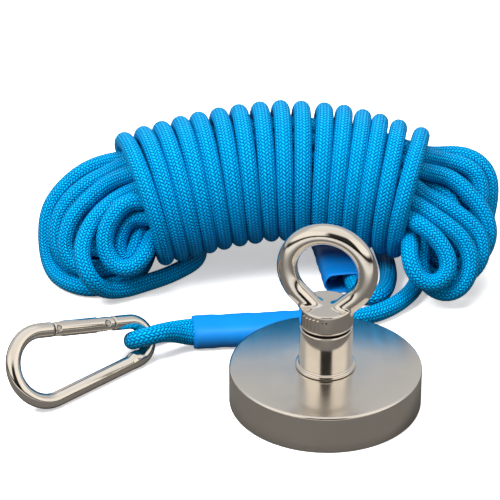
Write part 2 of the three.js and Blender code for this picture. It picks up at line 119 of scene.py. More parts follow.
# The order in which the rope passes through the places in the hank's middle.
STRAND_ORDER = (
    "O7", "O1", "O8", "O0", "O9", "O13", "I4", "O12", "C", "I1", "I6", "I5", "I0", "O10", "O2",
    "I3", "O5", "I2", "O4", "O6", "O3",
)
LEFT_LOOPS = (
    ("O0", "O8", (
        (-0.103, 0.143, 0.052), (-0.115, 0.141, 0.049), (-0.128, 0.136, 0.041),
        (-0.136, 0.130, 0.031), (-0.137, 0.124, 0.019), (-0.135, 0.118, 0.009),
        (-0.127, 0.105, 0.004), (-0.114, 0.095, 0.004), (-0.101, 0.101, 0.004),
        (-0.087, 0.116, 0.005),
    )),
    ("O1", "O7", (
        (-0.102, 0.131, 0.048), (-0.115, 0.128, 0.043), (-0.127, 0.124, 0.035),
        (-0.133, 0.118, 0.025), (-0.133, 0.112, 0.014), (-0.126, 0.107, 0.006),
        (-0.116, 0.102, 0.004), (-0.104, 0.106, 0.005), (-0.093, 0.110, 0.011),
    )),
    ("O2", "I3", (
        (-0.102, 0.123, 0.048), (-0.113, 0.119, 0.041), (-0.122, 0.115, 0.034),
        (-0.127, 0.110, 0.025), (-0.127, 0.105, 0.016), (-0.121, 0.102, 0.010),
        (-0.112, 0.101, 0.010), (-0.102, 0.103, 0.013), (-0.093, 0.106, 0.019),
    )),
    ("O4", "O6", (
        (-0.094, 0.102, 0.051), (-0.103, 0.097, 0.043), (-0.107, 0.092, 0.034),
        (-0.105, 0.087, 0.025), (-0.099, 0.083, 0.019), (-0.092, 0.083, 0.019),
        (-0.086, 0.086, 0.024),
    )),
    ("O5", "I2", (
        (-0.092, 0.104, 0.041), (-0.097, 0.099, 0.033), (-0.098, 0.095, 0.025),
        (-0.094, 0.092, 0.020), (-0.089, 0.093, 0.023),
    )),
    ("O13", "O9", (
        (-0.103, 0.148, 0.048), (-0.114, 0.146, 0.043), (-0.126, 0.141, 0.034),
        (-0.131, 0.135, 0.024), (-0.131, 0.128, 0.013), (-0.127, 0.123, 0.004),
        (-0.117, 0.110, 0.004), (-0.105, 0.113, 0.004), (-0.094, 0.124, 0.006),
    )),
    ("O12", "I4", (
        (-0.104, 0.147, 0.042), (-0.115, 0.144, 0.036), (-0.123, 0.139, 0.027),
        (-0.125, 0.133, 0.017), (-0.122, 0.128, 0.008), (-0.113, 0.121, 0.004),
        (-0.102, 0.126, 0.005),
    )),
    ("I0", "O10", (
        (-0.103, 0.139, 0.045), (-0.112, 0.134, 0.038), (-0.118, 0.129, 0.029),
        (-0.119, 0.124, 0.019), (-0.115, 0.120, 0.012), (-0.106, 0.118, 0.009),
        (-0.096, 0.121, 0.014),
    )),
    ("I6", "I5", (
        (-0.103, 0.133, 0.047), (-0.111, 0.129, 0.040), (-0.115, 0.124, 0.031),
        (-0.113, 0.119, 0.022), (-0.106, 0.117, 0.019), (-0.097, 0.119, 0.023),
    )),
    ("I1", "C", (
        (-0.101, 0.119, 0.047), (-0.108, 0.115, 0.040), (-0.112, 0.111, 0.032),
        (-0.111, 0.106, 0.025), (-0.104, 0.104, 0.021), (-0.096, 0.108, 0.027),
    )),
)
RIGHT_LOOPS = (
    ("O0", "O9", (
        (0.057, 0.143, 0.053), (0.069, 0.144, 0.054), (0.080, 0.142, 0.051),
        (0.086, 0.138, 0.044), (0.086, 0.133, 0.036), (0.084, 0.128, 0.027),
        (0.080, 0.123, 0.017), (0.074, 0.118, 0.009), (0.064, 0.113, 0.004),
        (0.053, 0.115, 0.004),
    )),
    ("O1", "O8", (
        (0.058, 0.135, 0.054), (0.068, 0.134, 0.053), (0.077, 0.132, 0.050),
        (0.081, 0.128, 0.042), (0.080, 0.123, 0.035), (0.077, 0.118, 0.025),
        (0.072, 0.113, 0.017), (0.063, 0.110, 0.011), (0.053, 0.110, 0.011),
    )),
    ("O2", "O10", (
        (0.056, 0.125, 0.054), (0.064, 0.124, 0.052), (0.071, 0.121, 0.047),
        (0.078, 0.117, 0.040), (0.083, 0.113, 0.033), (0.084, 0.109, 0.025),
        (0.081, 0.105, 0.018), (0.074, 0.101, 0.012), (0.064, 0.100, 0.010),
        (0.053, 0.103, 0.015),
    )),
    ("O3", "O6", (
        (0.050, 0.111, 0.046), (0.058, 0.110, 0.044), (0.067, 0.107, 0.039),
        (0.076, 0.104, 0.033), (0.080, 0.100, 0.026), (0.078, 0.095, 0.018),
        (0.070, 0.092, 0.011), (0.059, 0.091, 0.009), (0.048, 0.092, 0.013),
    )),
    ("O4", "I2", (
        (0.046, 0.102, 0.045), (0.053, 0.100, 0.042), (0.062, 0.097, 0.037),
        (0.070, 0.094, 0.031), (0.073, 0.090, 0.024), (0.071, 0.085, 0.015),
        (0.063, 0.081, 0.009), (0.054, 0.082, 0.010), (0.045, 0.086, 0.017),
    )),
    ("O5", "I3", (
        (0.043, 0.092, 0.044), (0.052, 0.089, 0.039), (0.059, 0.085, 0.032),
        (0.062, 0.081, 0.025), (0.059, 0.077, 0.019), (0.052, 0.076, 0.016),
        (0.044, 0.078, 0.020), (0.040, 0.082, 0.027),
    )),
    ("O13", "I4", (
        (0.057, 0.149, 0.047), (0.069, 0.149, 0.046), (0.077, 0.145, 0.040),
        (0.079, 0.140, 0.031), (0.075, 0.134, 0.021), (0.068, 0.129, 0.013),
        (0.057, 0.127, 0.009),
    )),
    ("O12", "C", (
        (0.057, 0.141, 0.046), (0.067, 0.140, 0.043), (0.073, 0.136, 0.036),
        (0.073, 0.131, 0.027), (0.067, 0.127, 0.020), (0.057, 0.126, 0.018),
    )),
    ("I0", "I5", (
        (0.056, 0.133, 0.048), (0.065, 0.131, 0.044), (0.069, 0.127, 0.037),
        (0.067, 0.123, 0.029), (0.059, 0.121, 0.026), (0.052, 0.123, 0.029),
    )),
    ("I6", "I1", (
        (0.056, 0.124, 0.048), (0.064, 0.122, 0.044), (0.067, 0.118, 0.037),
        (0.063, 0.114, 0.030), (0.055, 0.115, 0.031),
    )),
)
FRONT_LOOP = (
    (-0.098, 0.115, 0.047), (-0.106, 0.109, 0.044), (-0.113, 0.103, 0.039),
    (-0.118, 0.095, 0.032), (-0.119, 0.088, 0.025), (-0.115, 0.082, 0.018),
    (-0.109, 0.088, 0.008), (-0.099, 0.094, 0.0052), (-0.089, 0.100, 0.005),
    (-0.078, 0.106, 0.005), (-0.069, 0.114, 0.005), (-0.062, 0.122, 0.0046),
    (-0.060, 0.132, 0.0046), (-0.062, 0.143, 0.0048), (-0.069, 0.151, 0.006),
    (-0.078, 0.153, 0.012), (-0.086, 0.152, 0.024), (-0.091, 0.152, 0.038),
)
REAR_LOOP = (
    (0.049, 0.139, 0.0065), (0.054, 0.148, 0.005), (0.056, 0.158, 0.0046), (0.051, 0.167, 0.0046),
    (0.042, 0.169, 0.0046), (0.035, 0.163, 0.0046), (0.032, 0.153, 0.0046), (0.032, 0.142, 0.0046),
    (0.0335, 0.130, 0.0046), (0.035, 0.118, 0.0046),
)


# ---------- Rope path ----------
LAID_STEP = 0.004
DRAWN_STEP = 0.0022
SETTLING_ROUNDS = 90
END_TAPER = (0.55, 0.82, 0.96)
SLEEVE_FACETS = 48
SLEEVE_STEP = 0.002


def beside(route, aside):
    """A route's points moved sideways on the ground plane."""
    route = np.array(route)
    along = np.gradient(route, axis=0)
    across = np.stack([-along[:, 1], along[:, 0], 0 * along[:, 0]], -1)
    return route + aside * across / np.linalg.norm(across, axis=1)[:, None]


def from_pot_edge(route):
    return np.array(route) + (0.0, POT_RADIUS, 0.0)


def hank_frames(distance):
    """Place, direction, rearward side and top of the hank's bent middle line at given distances."""
    distance = np.atleast_1d(np.asarray(distance, float))
    share = distance / HANK_HALF
    place = np.array(HANK_MIDDLE) + np.stack(
        [distance, -HANK_BEND_FORWARD * share**2, -HANK_DROOP * share**2], -1
    )
    place += np.interp(distance, TURN_STATIONS, TURN_RISES)[:, None] * np.array(HANK_UP)
    along = np.stack(
        [
            np.ones_like(share),
            -2 * HANK_BEND_FORWARD * share / HANK_HALF,
            -2 * HANK_DROOP * share / HANK_HALF,
        ],
        -1,
    )
    along /= np.linalg.norm(along, axis=1)[:, None]
    side = np.cross((0.0, 0.0, 1.0), along)
    side /= np.linalg.norm(side, axis=1)[:, None]
    return place, along, side, np.cross(along, side)


def turn_radius(distance):
    return np.interp(distance, TURN_STATIONS, TURN_RADII)


def strand_place(name, distance):
    """Points of one strand inside the turns: its ring and number give its place across the hank."""
    ring, number = name[0], int(name[1:] or 0)
    if ring == "O":
        radius, angle = OUTER_STRAND_RADIUS, 90 - 360 * number / OUTER_STRANDS
    elif ring == "I":
        radius, angle = INNER_STRAND_RADIUS, 77 - 360 * number / INNER_STRANDS
    else:
        radius, angle = 0.0, 0.0
    place, along, _, _ = hank_frames(distance)
    angle = math.radians(angle)
    spread = radius * (1.18 - 0.18 * (np.asarray(distance) / HANK_HALF) ** 2)
    axes = []
    for direction in (np.array(HANK_FRONT), np.array(HANK_UP)):
        flat = direction - (along @ direction)[:, None] * along
        axes.append(flat / np.linalg.norm(flat, axis=1)[:, None])
    return place + spread[:, None] * (math.cos(angle) * axes[0] + math.sin(angle) * axes[1])


def turns_round_hank():
    """The sixteen turns, from behind the left end to under the right one."""
    angle = np.radians(np.arange(-60, 360 * (len(TURN_PLACES) - 1) + 206, 15))
    counts = np.arange(-1, len(TURN_PLACES) + 1)
    places = (TURN_PLACES[0] - 0.006, *TURN_PLACES, TURN_PLACES[-1] + 0.004)
    distance = np.interp(angle / (2 * math.pi), counts, places)
    place, _, side, up = hank_frames(distance)
    radius = turn_radius(distance)
    return place + (radius * np.cos(angle))[:, None] * up - (radius * np.sin(angle))[:, None] * side


def loop_between(loops, first, last):
    """The loop that joins two strands at one end of the hank, in the rope's direction."""
    for start, end, points in loops:
        if (start, end) == (first, last):
            return np.array(points)
        if (end, start) == (first, last):
            return np.array(points)[::-1]
    raise ValueError(f"no loop joins strands {first} and {last}")


def smooth_line(points, kinds, step):
    """A smooth curve through the points, cut into even steps, with the kind of each new point."""
    gaps = np.sqrt(np.maximum(np.linalg.norm(np.diff(points, axis=0), axis=1), 1e-9))
    at = np.concatenate([[0.0], np.cumsum(gaps)])
    knots = np.vstack([2 * points[0] - points[1], points, 2 * points[-1] - points[-2]])
    at = np.concatenate([[-gaps[0]], at, [at[-1] + gaps[-1]]])
    dense, dense_kinds = [], []
    for index in range(len(points) - 1):
        p0, p1, p2, p3 = knots[index:index + 4]
        t0, t1, t2, t3 = at[index:index + 4]
        count = max(2, int(np.linalg.norm(p2 - p1) / 0.001))
        t = (t1 + (t2 - t1) * np.arange(count) / count)[:, None]
        a1 = ((t1 - t) * p0 + (t - t0) * p1) / (t1 - t0)
        a2 = ((t2 - t) * p1 + (t - t1) * p2) / (t2 - t1)
        a3 = ((t3 - t) * p2 + (t - t2) * p3) / (t3 - t2)
        b1 = ((t2 - t) * a1 + (t - t0) * a2) / (t2 - t0)
        b2 = ((t3 - t) * a2 + (t - t1) * a3) / (t3 - t1)
        dense.append(((t2 - t) * b1 + (t - t1) * b2) / (t2 - t1))
        dense_kinds += [kinds[index] if n < count / 2 else kinds[index + 1] for n in range(count)]
    dense = np.vstack([*dense, points[-1:]])
    dense_kinds.append(kinds[-1])
    line = evenly_spaced(dense, step)
    length = np.concatenate([[0.0], np.cumsum(np.linalg.norm(np.diff(dense, axis=0), axis=1))])
    nearest = np.searchsorted(length, np.linspace(0, length[-1], len(line)))
    return line, np.array(dense_kinds)[np.clip(nearest, 0, len(dense_kinds) - 1)]


def evenly_spaced(line, step):
    length = np.concatenate([[0.0], np.cumsum(np.linalg.norm(np.diff(line, axis=0), axis=1))])
    at = np.linspace(0, length[-1], int(round(length[-1] / step)) + 1)
    return np.stack([np.interp(at, length, line[:, axis]) for axis in range(3)], -1)


def laid_route(diameter):
    """The whole rope as it is laid, end to end, before it settles."""
    aside = (diameter + STRAND_GAP) / 2
    clip_sleeve, far_sleeve = from_pot_edge(CLIP_SLEEVE_ROUTE), from_pot_edge(FAR_SLEEVE_ROUTE)
    stretches = [
        ("held", beside(clip_sleeve, -aside)[::-1]),
        ("held", from_pot_edge(CLIP_EYE_ROUTE)),
        ("held", beside(clip_sleeve, aside)),
        ("held", from_pot_edge(TAIL_ROUTE)),
        ("free", from_pot_edge(TAIL_RISE)),
    ]
    to_left = np.linspace(0.062, -0.062, 6)
    for index, strand in enumerate(STRAND_ORDER):
        leftward = index % 2 == 0
        stretches.append(("core", strand_place(strand, to_left if leftward else to_left[::-1])))
        if index + 1 < len(STRAND_ORDER):
            loops = LEFT_LOOPS if leftward else RIGHT_LOOPS
            stretches.append(("free", loop_between(loops, strand, STRAND_ORDER[index + 1])))
    stretches += [
        ("free", np.array(FRONT_LOOP)),
        ("turn", turns_round_hank()),
        ("free", np.array(REAR_LOOP)),
        ("held", from_pot_edge(FAR_LEAD_ROUTE)[::-1]),
        ("held", beside(far_sleeve, -aside)),
        ("held", from_pot_edge(FAR_EYE_ROUTE)[::-1]),
        ("held", beside(far_sleeve, aside)[::-1]),
    ]
    kinds = [kind for kind, points in stretches for _ in points]
    return np.vstack([points for _, points in stretches]), kinds


def close_pairs(line, reach, apart):
    """Pairs of points nearer than reach that are more than so many points apart along the rope."""
    squares = (line**2).sum(1)
    far = squares[:, None] + squares[None] - 2 * line @ line.T
    far[np.tril_indices(len(line), apart)] = 1.0
    return np.nonzero(far < reach**2)


def settled(line, kinds, diameter, step, tightest_bend, rounds):
    """Lets the rope push its own turns apart, keep its length and lie on the ground."""
    laid = line.copy()
    free = np.select([kinds == "turn", kinds == "held"], [0.0, 0.3], 1.0)[:, None]
    hold = np.where(kinds == "held", 0.15, 0.0)[:, None]
    rest = np.linalg.norm(np.diff(line, axis=0), axis=1)
    core = kinds == "core"
    apart = int(math.ceil(1.6 * diameter / step))
    most_bend = step**2 / (2 * tightest_bend)
    for turn in range(rounds):
        first, second = close_pairs(line, diameter + 0.002, apart)
        moving = (free[first, 0] + free[second, 0]) > 0
        first, second = first[moving], second[moving]
        pull = 0.02 if turn < 0.6 * rounds else 0.004
        for _ in range(6):
            line += free * (laid - line) * pull + hold * (laid - line)
            moved = line - laid
            line[1:-1] += 0.6 * free[1:-1] * ((moved[:-2] + moved[2:]) / 2 - moved[1:-1])
            bend = (line[:-2] + line[2:]) / 2 - line[1:-1]
            size = np.linalg.norm(bend, axis=1)
            bend *= (0.5 * np.maximum(size - most_bend, 0) / np.maximum(size, 1e-9))[:, None]
            line[1:-1] += bend * free[1:-1]
            line[:-2] -= 0.5 * bend * free[:-2]
            line[2:] -= 0.5 * bend * free[2:]
            gap = line[first] - line[second]
            size = np.linalg.norm(gap, axis=1)
            hit = size < diameter
            one, other = first[hit], second[hit]
            size = np.maximum(size[hit], 1e-9)
            share = free[one, 0] + free[other, 0]
            push = gap[hit] * (0.5 * (diameter - size) / (size * share))[:, None]
            shift = np.zeros_like(line)
            np.add.at(shift, one, push * free[one])
            np.add.at(shift, other, -push * free[other])
            count = np.bincount(one, minlength=len(line)) + np.bincount(other, minlength=len(line))
            line += 1.6 * shift / np.maximum(1, count)[:, None]
            for start in (0, 1):
                a = np.arange(start, len(line) - 1, 2)
                gap = line[a + 1] - line[a]
                size = np.maximum(np.linalg.norm(gap, axis=1), 1e-9)
                share = np.maximum(free[a, 0] + free[a + 1, 0], 1e-9)
                mend = gap * (0.5 * (size - rest[a]) / (size * share))[:, None]
                line[a] += mend * free[a]
                line[a + 1] -= mend * free[a + 1]
            distance = np.clip(line[core, 0] - HANK_MIDDLE[0], -HANK_HALF, HANK_HALF)
            place, along, _, _ = hank_frames(distance)
            out = line[core] - place
            out -= (out * along).sum(1)[:, None] * along
            size = np.linalg.norm(out, axis=1)
            over = np.maximum(size - (turn_radius(distance) - diameter + 0.0002), 0)
            line[core] -= out * (over / np.maximum(size, 1e-9))[:, None]
            line[:, 2] = np.maximum(line[:, 2], diameter / 2 + 0.0001)
    return line


def softened(line, passes):
    """Takes the last small corners out of a line, and keeps its ends."""
    for _ in range(passes):
        line[1:-1] += 0.25 * (line[:-2] + line[2:] - 2 * line[1:-1])
    return line


# ---------- Mesh makers ----------
def mesh_from(name, points, faces):
    mesh = bpy.data.meshes.new(name)
    mesh.from_pydata([tuple(point) for point in points], [], faces)
    mesh.polygons.foreach_set("use_smooth", [True] * len(mesh.polygons))
    mesh.update()
    return mesh


def piece_from(name, mesh, material, body, nodes):
    """Shows a mesh as a piece that rides on a body in place of its CAD nodes."""
    mesh.materials.clear()
    mesh.materials.append(material)
    piece = bpy.data.objects.new(name, mesh)
    bpy.context.scene.collection.objects.link(piece)
    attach(piece, body)
    if nodes:
        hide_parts(*nodes)
    return piece


def turned_mesh(name, profile, segments=160):
    """A closed turned shape about Z, from (radius, height) points on the axis or round a ring."""
    profile = list(profile)
    closed = profile[0][0] > 0 and profile[-1][0] > 0
    points, rings = [], []
    for radius, height in profile:
        if radius < 1e-9:
            rings.append([len(points)] * segments)
            points.append((0.0, 0.0, height))
            continue
        rings.append(list(range(len(points), len(points) + segments)))
        for step in range(segments):
            angle = 2 * math.pi * step / segments
            points.append((radius * math.cos(angle), radius * math.sin(angle), height))
    faces = []
    for one, other in zip(rings, rings[1:] + rings[:1] if closed else rings[1:]):
        for step in range(segments):
            after = (step + 1) % segments
            face = [one[step], one[after], other[after], other[step]]
            faces.append(list(dict.fromkeys(face)))
    return mesh_from(name, points, [face for face in faces if len(face) > 2])


def rounded_profile(corners, steps=5):
    """A profile whose (radius, height, round) corners are rounded off by arcs."""
    count = len(corners)
    profile = []
    for index, (radius, height, round_off) in enumerate(corners):
        here = np.array((radius, height))
        if round_off <= 0:
            profile.append((radius, height))
            continue
        before = np.array(corners[index - 1][:2]) - here
        after = np.array(corners[(index + 1) % count][:2]) - here
        start = here + before / np.linalg.norm(before) * round_off
        end = here + after / np.linalg.norm(after) * round_off
        for step in range(steps + 1):
            t = step / steps
            profile.append(tuple((1 - t) ** 2 * start + 2 * t * (1 - t) * here + t**2 * end))
    return profile


def quads_between(ring, other, count):
    """The faces between two rings of so many points each, given by the rings' numbers."""
    faces = []
    for step in range(count):
        after = (step + 1) % count
        faces.append((
            ring * count + step, ring * count + after,
            other * count + after, other * count + step,
        ))
    return faces


def swept_tube(name, line, sections):
    """A mesh along a line, with the (side, up) points of every ring given by sections."""
    line = np.asarray(line, float)
    along = np.gradient(line, axis=0)
    along /= np.linalg.norm(along, axis=1)[:, None]
    up = np.array((0.0, 0.0, 1.0))
    if abs(along[0] @ up) > 0.9:
        up = np.array((0.0, 1.0, 0.0))
    count = len(sections[0])
    points, faces = [], []
    for place, direction, section in zip(line, along, sections):
        up = up - direction * (up @ direction)
        up /= np.linalg.norm(up)
        side = np.cross(up, direction)
        section = np.asarray(section)
        points.append(place + section[:, :1] * side + section[:, 1:] * up)
    for ring in range(len(line) - 1):
        faces += quads_between(ring, ring + 1, count)
    faces.append(tuple(range(count))[::-1])
    faces.append(tuple(range((len(line) - 1) * count, len(line) * count)))
    return mesh_from(name, np.vstack(points), faces)


def tube_map(mesh, rings, count, length):
    """A map with once round the tube as U and metres along it as V."""
    layer = mesh.uv_layers.new(name="Braid")
    step_length = length / (rings - 1)
    for face in mesh.polygons:
        corners = list(face.loop_indices)
        steps = {mesh.loops[loop].vertex_index % count for loop in corners}
        wraps = len(steps & {0, count - 1}) == 2
        for loop in corners:
            vertex = mesh.loops[loop].vertex_index
            ring, step = divmod(vertex, count)
            around = step / count
            if wraps and step == 0 and len(corners) == 4:
                around = 1.0
            layer.data[loop].uv = (around, ring * step_length)


def soft_join(one, other, blend):
    """The nearer of two surfaces, with a fillet between them."""
    near = np.maximum(blend - np.abs(one - other), 0) / blend
    return np.minimum(one, other) - near**2 * blend / 4


def soft_cut(body, tool, blend):
    return -soft_join(-body, tool, blend)


def rounded_distance(past, round_off):
    """Distance to a shape with rounded edges, from how far points are past each of its faces."""
    outside = np.linalg.norm(np.maximum(past, 0), axis=1)
    return outside + np.minimum(past.max(axis=1), 0) - round_off


def box_distance(points, centre, half, round_off):
    past = np.abs(points - np.array(centre)) - (np.array(half) - round_off)
    return rounded_distance(past, round_off)


def rod_distance(points, start, end, radius):
    """Distance to a rod with round ends."""
    start, end = np.array(start), np.array(end)
    line = end - start
    share = np.clip(((points - start) @ line) / (line @ line), 0, 1)
    return np.linalg.norm(points - start - share[:, None] * line, axis=1) - radius


def drum_distance(across, along, radius, half, round_off):
    """Distance to a drum from the distances across and along its axis."""
    past = np.stack([across - (radius - round_off), np.abs(along) - (half - round_off)], -1)
    return rounded_distance(past, round_off)


def shell_from_distance(name, distance, low, high, step):
    """A closed mesh of the surface on which a distance rule is zero."""
    low, high = np.array(low, float), np.array(high, float)
    counts = np.ceil((high - low) / step).astype(int) + 1
    axes = [low[axis] + step * np.arange(counts[axis]) for axis in range(3)]
    grid = np.stack(np.meshgrid(*axes, indexing="ij"), -1).reshape(-1, 3)
    inside = (distance(grid) < 0).reshape(counts)
    corners = sum(
        inside[i:counts[0] - 1 + i, j:counts[1] - 1 + j, k:counts[2] - 1 + k].astype(int)
        for i in (0, 1) for j in (0, 1) for k in (0, 1)
    )
    mixed = (corners > 0) & (corners < 8)
    number = np.full(mixed.shape, -1)
    number[mixed] = np.arange(mixed.sum())
    points = low + step * (np.argwhere(mixed) + 0.5)
    faces = []
    for axis in range(3):
        b, c = (axis + 1) % 3, (axis + 2) % 3
        ahead = np.roll(inside, -1, axis)
        change = inside != ahead
        change[tuple(slice(-1, None) if n == axis else slice(None) for n in range(3))] = False
        for place in np.argwhere(change):
            quad = []
            for shift_b, shift_c in ((1, 1), (0, 1), (0, 0), (1, 0)):
                cell = place.copy()
                cell[b] -= shift_b
                cell[c] -= shift_c
                quad.append(int(number[tuple(cell)]))
            faces.append(quad if inside[tuple(place)] else quad[::-1])
    faces = np.array(faces)
    edges = np.vstack([faces[:, [n, (n + 1) % 4]] for n in range(4)])
    shares = np.maximum(np.bincount(edges[:, 0], minlength=len(points)), 1)[:, None]
    for turn in range(8):
        if turn < 6:
            total = np.zeros_like(points)
            np.add.at(total, edges[:, 0], points[edges[:, 1]])
            points = 0.5 * points + 0.5 * total / shares
        for _ in range(2):
            value = distance(points)
            slope = np.stack([
                distance(points + shift) - distance(points - shift)
                for shift in np.eye(3) * step * 0.02
            ], -1) / (step * 0.04)
            points = points - slope * (value / np.maximum((slope**2).sum(1), 0.04))[:, None]
    return mesh_from(name, points, faces.tolist())


# ---------- Shader parts shared by the finishes ----------
def node(tree, kind, **settings):
    made = tree.nodes.new(kind)
    for name, value in settings.items():
        setattr(made, name, value)
    return made


def calc(tree, operation, *values):
    made = node(tree, "ShaderNodeMath", operation=operation)
    for socket, value in zip(made.inputs, values):
        if isinstance(value, (int, float)):
            socket.default_value = value
        else:
            tree.links.new(value, socket)
    return made.outputs[0]


def group_of(name, inputs, outputs):
    """An empty shader group with float sockets, and its input and output nodes."""
    tree = bpy.data.node_groups.new(name, "ShaderNodeTree")
    for socket, value in inputs:
        made = tree.interface.new_socket(socket, in_out="INPUT", socket_type="NodeSocketFloat")
        made.default_value = value
    for socket in outputs:
        tree.interface.new_socket(socket, in_out="OUTPUT", socket_type="NodeSocketFloat")
    return tree, node(tree, "NodeGroupInput"), node(tree, "NodeGroupOutput")


def shared_group(name):
    makers = {
        "Fine Scratches": fine_scratches, "Handling Haze": handling_haze,
        "Twill Braid": twill_braid,
    }
    return bpy.data.node_groups.get(name) or makers[name](name)


def fine_scratches(name):
    """Short hair lines in two directions, as a mask."""
    tree, given, result = group_of(name, [("Scale", 400.0), ("Amount", 0.5)], ["Mask"])
    place = node(tree, "ShaderNodeTexCoord")
    masks = []
    for turn, stretch in ((0.6, (1.0, 0.04, 0.3)), (2.1, (0.05, 1.0, 0.4))):
        mapping = node(tree, "ShaderNodeMapping")
        mapping.inputs["Rotation"].default_value = (0.3 * turn, 0.2, turn)
        mapping.inputs["Scale"].default_value = stretch
        tree.links.new(place.outputs["Object"], mapping.inputs["Vector"])
        noise = node(tree, "ShaderNodeTexNoise")
        noise.inputs["Detail"].default_value = 3.0
        tree.links.new(mapping.outputs[0], noise.inputs["Vector"])
        tree.links.new(given.outputs["Scale"], noise.inputs["Scale"])
        sharp = calc(tree, "SUBTRACT", noise.outputs["Fac"], 0.56)
        masks.append(calc(tree, "MAXIMUM", calc(tree, "MULTIPLY", sharp, 5.0), 0.0))
    both = calc(tree, "MINIMUM", calc(tree, "ADD", *masks), 1.0)
    tree.links.new(calc(tree, "MULTIPLY", both, given.outputs["Amount"]), result.inputs["Mask"])
    return tree


def handling_haze(name):
    """Broad cloudy patches, as a mask."""
    tree, given, result = group_of(name, [("Scale", 40.0), ("Contrast", 2.0)], ["Mask"])
    place = node(tree, "ShaderNodeTexCoord")
    noise = node(tree, "ShaderNodeTexNoise")
    noise.inputs["Detail"].default_value = 4.0
    tree.links.new(place.outputs["Object"], noise.inputs["Vector"])
    tree.links.new(given.outputs["Scale"], noise.inputs["Scale"])
    centred = calc(tree, "SUBTRACT", noise.outputs["Fac"], 0.5)
    spread = calc(tree, "MULTIPLY", centred, given.outputs["Contrast"])
    mask = node(tree, "ShaderNodeMath", operation="ADD", use_clamp=True)
    mask.inputs[1].default_value = 0.5
    tree.links.new(spread, mask.inputs[0])
    tree.links.new(mask.outputs[0], result.inputs["Mask"])
    return tree


def twill_braid(name):
    """A round braid in which every strand goes over two and under two, on the tube's own map."""
    tree, given, result = group_of(
        name, [("Strands", 16.0), ("Row Length", 0.0017)], ["Height", "Lean", "Fibre"]
    )
    chart = node(tree, "ShaderNodeUVMap", uv_map="Braid")
    split = node(tree, "ShaderNodeSeparateXYZ")
    tree.links.new(chart.outputs[0], split.inputs[0])
    around = calc(tree, "MULTIPLY", split.outputs["X"], given.outputs["Strands"])
    along = calc(tree, "DIVIDE", split.outputs["Y"], given.outputs["Row Length"])
    right = calc(tree, "ADD", around, along)
    left = calc(tree, "SUBTRACT", around, along)
    right_part, left_part = calc(tree, "FRACT", right), calc(tree, "FRACT", left)
    cells = calc(tree, "ADD", calc(tree, "FLOOR", right), calc(tree, "FLOOR", left))
    phase = calc(tree, "FLOORED_MODULO", cells, 4.0)
    left_on_top = calc(tree, "GREATER_THAN", phase, 1.5)

    def float_height(across, run):
        centred = calc(tree, "MULTIPLY_ADD", across, 2.0, -1.0)
        round_top = calc(tree, "SQRT", calc(tree, "MAXIMUM", calc(
            tree, "SUBTRACT", 1.0, calc(tree, "MULTIPLY", centred, centred)), 0.0))
        dive = calc(tree, "SINE", calc(tree, "MULTIPLY", run, math.pi / 2))
        return calc(tree, "MULTIPLY", round_top, calc(tree, "MULTIPLY_ADD", dive, 0.55, 0.45))

    over_right = float_height(right_part, calc(tree, "ADD", phase, left_part))
    over_left = float_height(
        left_part, calc(tree, "SUBTRACT", calc(tree, "ADD", phase, right_part), 2.0)
    )
    kept = calc(tree, "MULTIPLY", over_right, calc(tree, "SUBTRACT", 1.0, left_on_top))
    height = calc(tree, "MULTIPLY_ADD", over_left, left_on_top, kept)
    noise = node(tree, "ShaderNodeTexNoise")
    noise.inputs["Scale"].default_value = 900.0
    place = node(tree, "ShaderNodeTexCoord")
    tree.links.new(place.outputs["Object"], noise.inputs["Vector"])
    tree.links.new(height, result.inputs["Height"])
    tree.links.new(left_on_top, result.inputs["Lean"])
    tree.links.new(noise.outputs["Fac"], result.inputs["Fibre"])
    return tree


def use_group(tree, name, **values):
    made = node(tree, "ShaderNodeGroup")
    made.node_tree = shared_group(name)
    for socket, value in values.items():
        made.inputs[socket.replace("_", " ")].default_value = value
    return made


def blank_material(name):
    material = bpy.data.materials.get(name)
    if material:
        return material, None, None
    material = bpy.data.materials.new(name)
    material.use_nodes = True
    return material, material.node_tree, material.node_tree.nodes["Principled BSDF"]


def mixed_colour(tree, mask, one, other):
    mix = node(tree, "ShaderNodeMix", data_type="RGBA")
    tree.links.new(mask, mix.inputs["Factor"])
    mix.inputs["A"].default_value = (*one[:3], 1.0)
    mix.inputs["B"].default_value = (*other[:3], 1.0)
    return mix.outputs["Result"]


def ranged(tree, mask, low, high):
    return calc(tree, "MULTIPLY_ADD", mask, high - low, low)


def plated_metal(name, colour, smooth, dull, scratch_scale=900.0, scratches=0.5, bump=0.00001):
    """Bright plating: faint clouding in colour and gloss, and hair scratches."""
    material, tree, shader = blank_material(name)
    if tree is None:
        return material
    shader.inputs["Metallic"].default_value = 1.0
    haze = use_group(tree, "Handling Haze", Scale=55.0, Contrast=2.4).outputs["Mask"]
    marks = use_group(tree, "Fine Scratches", Scale=scratch_scale, Amount=scratches).outputs["Mask"]
    darker = [0.93 * part for part in colour[:3]]
    tree.links.new(mixed_colour(tree, haze, colour, darker), shader.inputs["Base Color"])
    mask = calc(tree, "MAXIMUM", calc(tree, "MULTIPLY", haze, 0.35), marks)
    tree.links.new(ranged(tree, mask, smooth, dull), shader.inputs["Roughness"])
    bend = node(tree, "ShaderNodeBump", invert=True)
    bend.inputs["Strength"].default_value = 0.25
    bend.inputs["Distance"].default_value = bump
    tree.links.new(marks, bend.inputs["Height"])
    tree.links.new(bend.outputs[0], shader.inputs["Normal"])
    return material


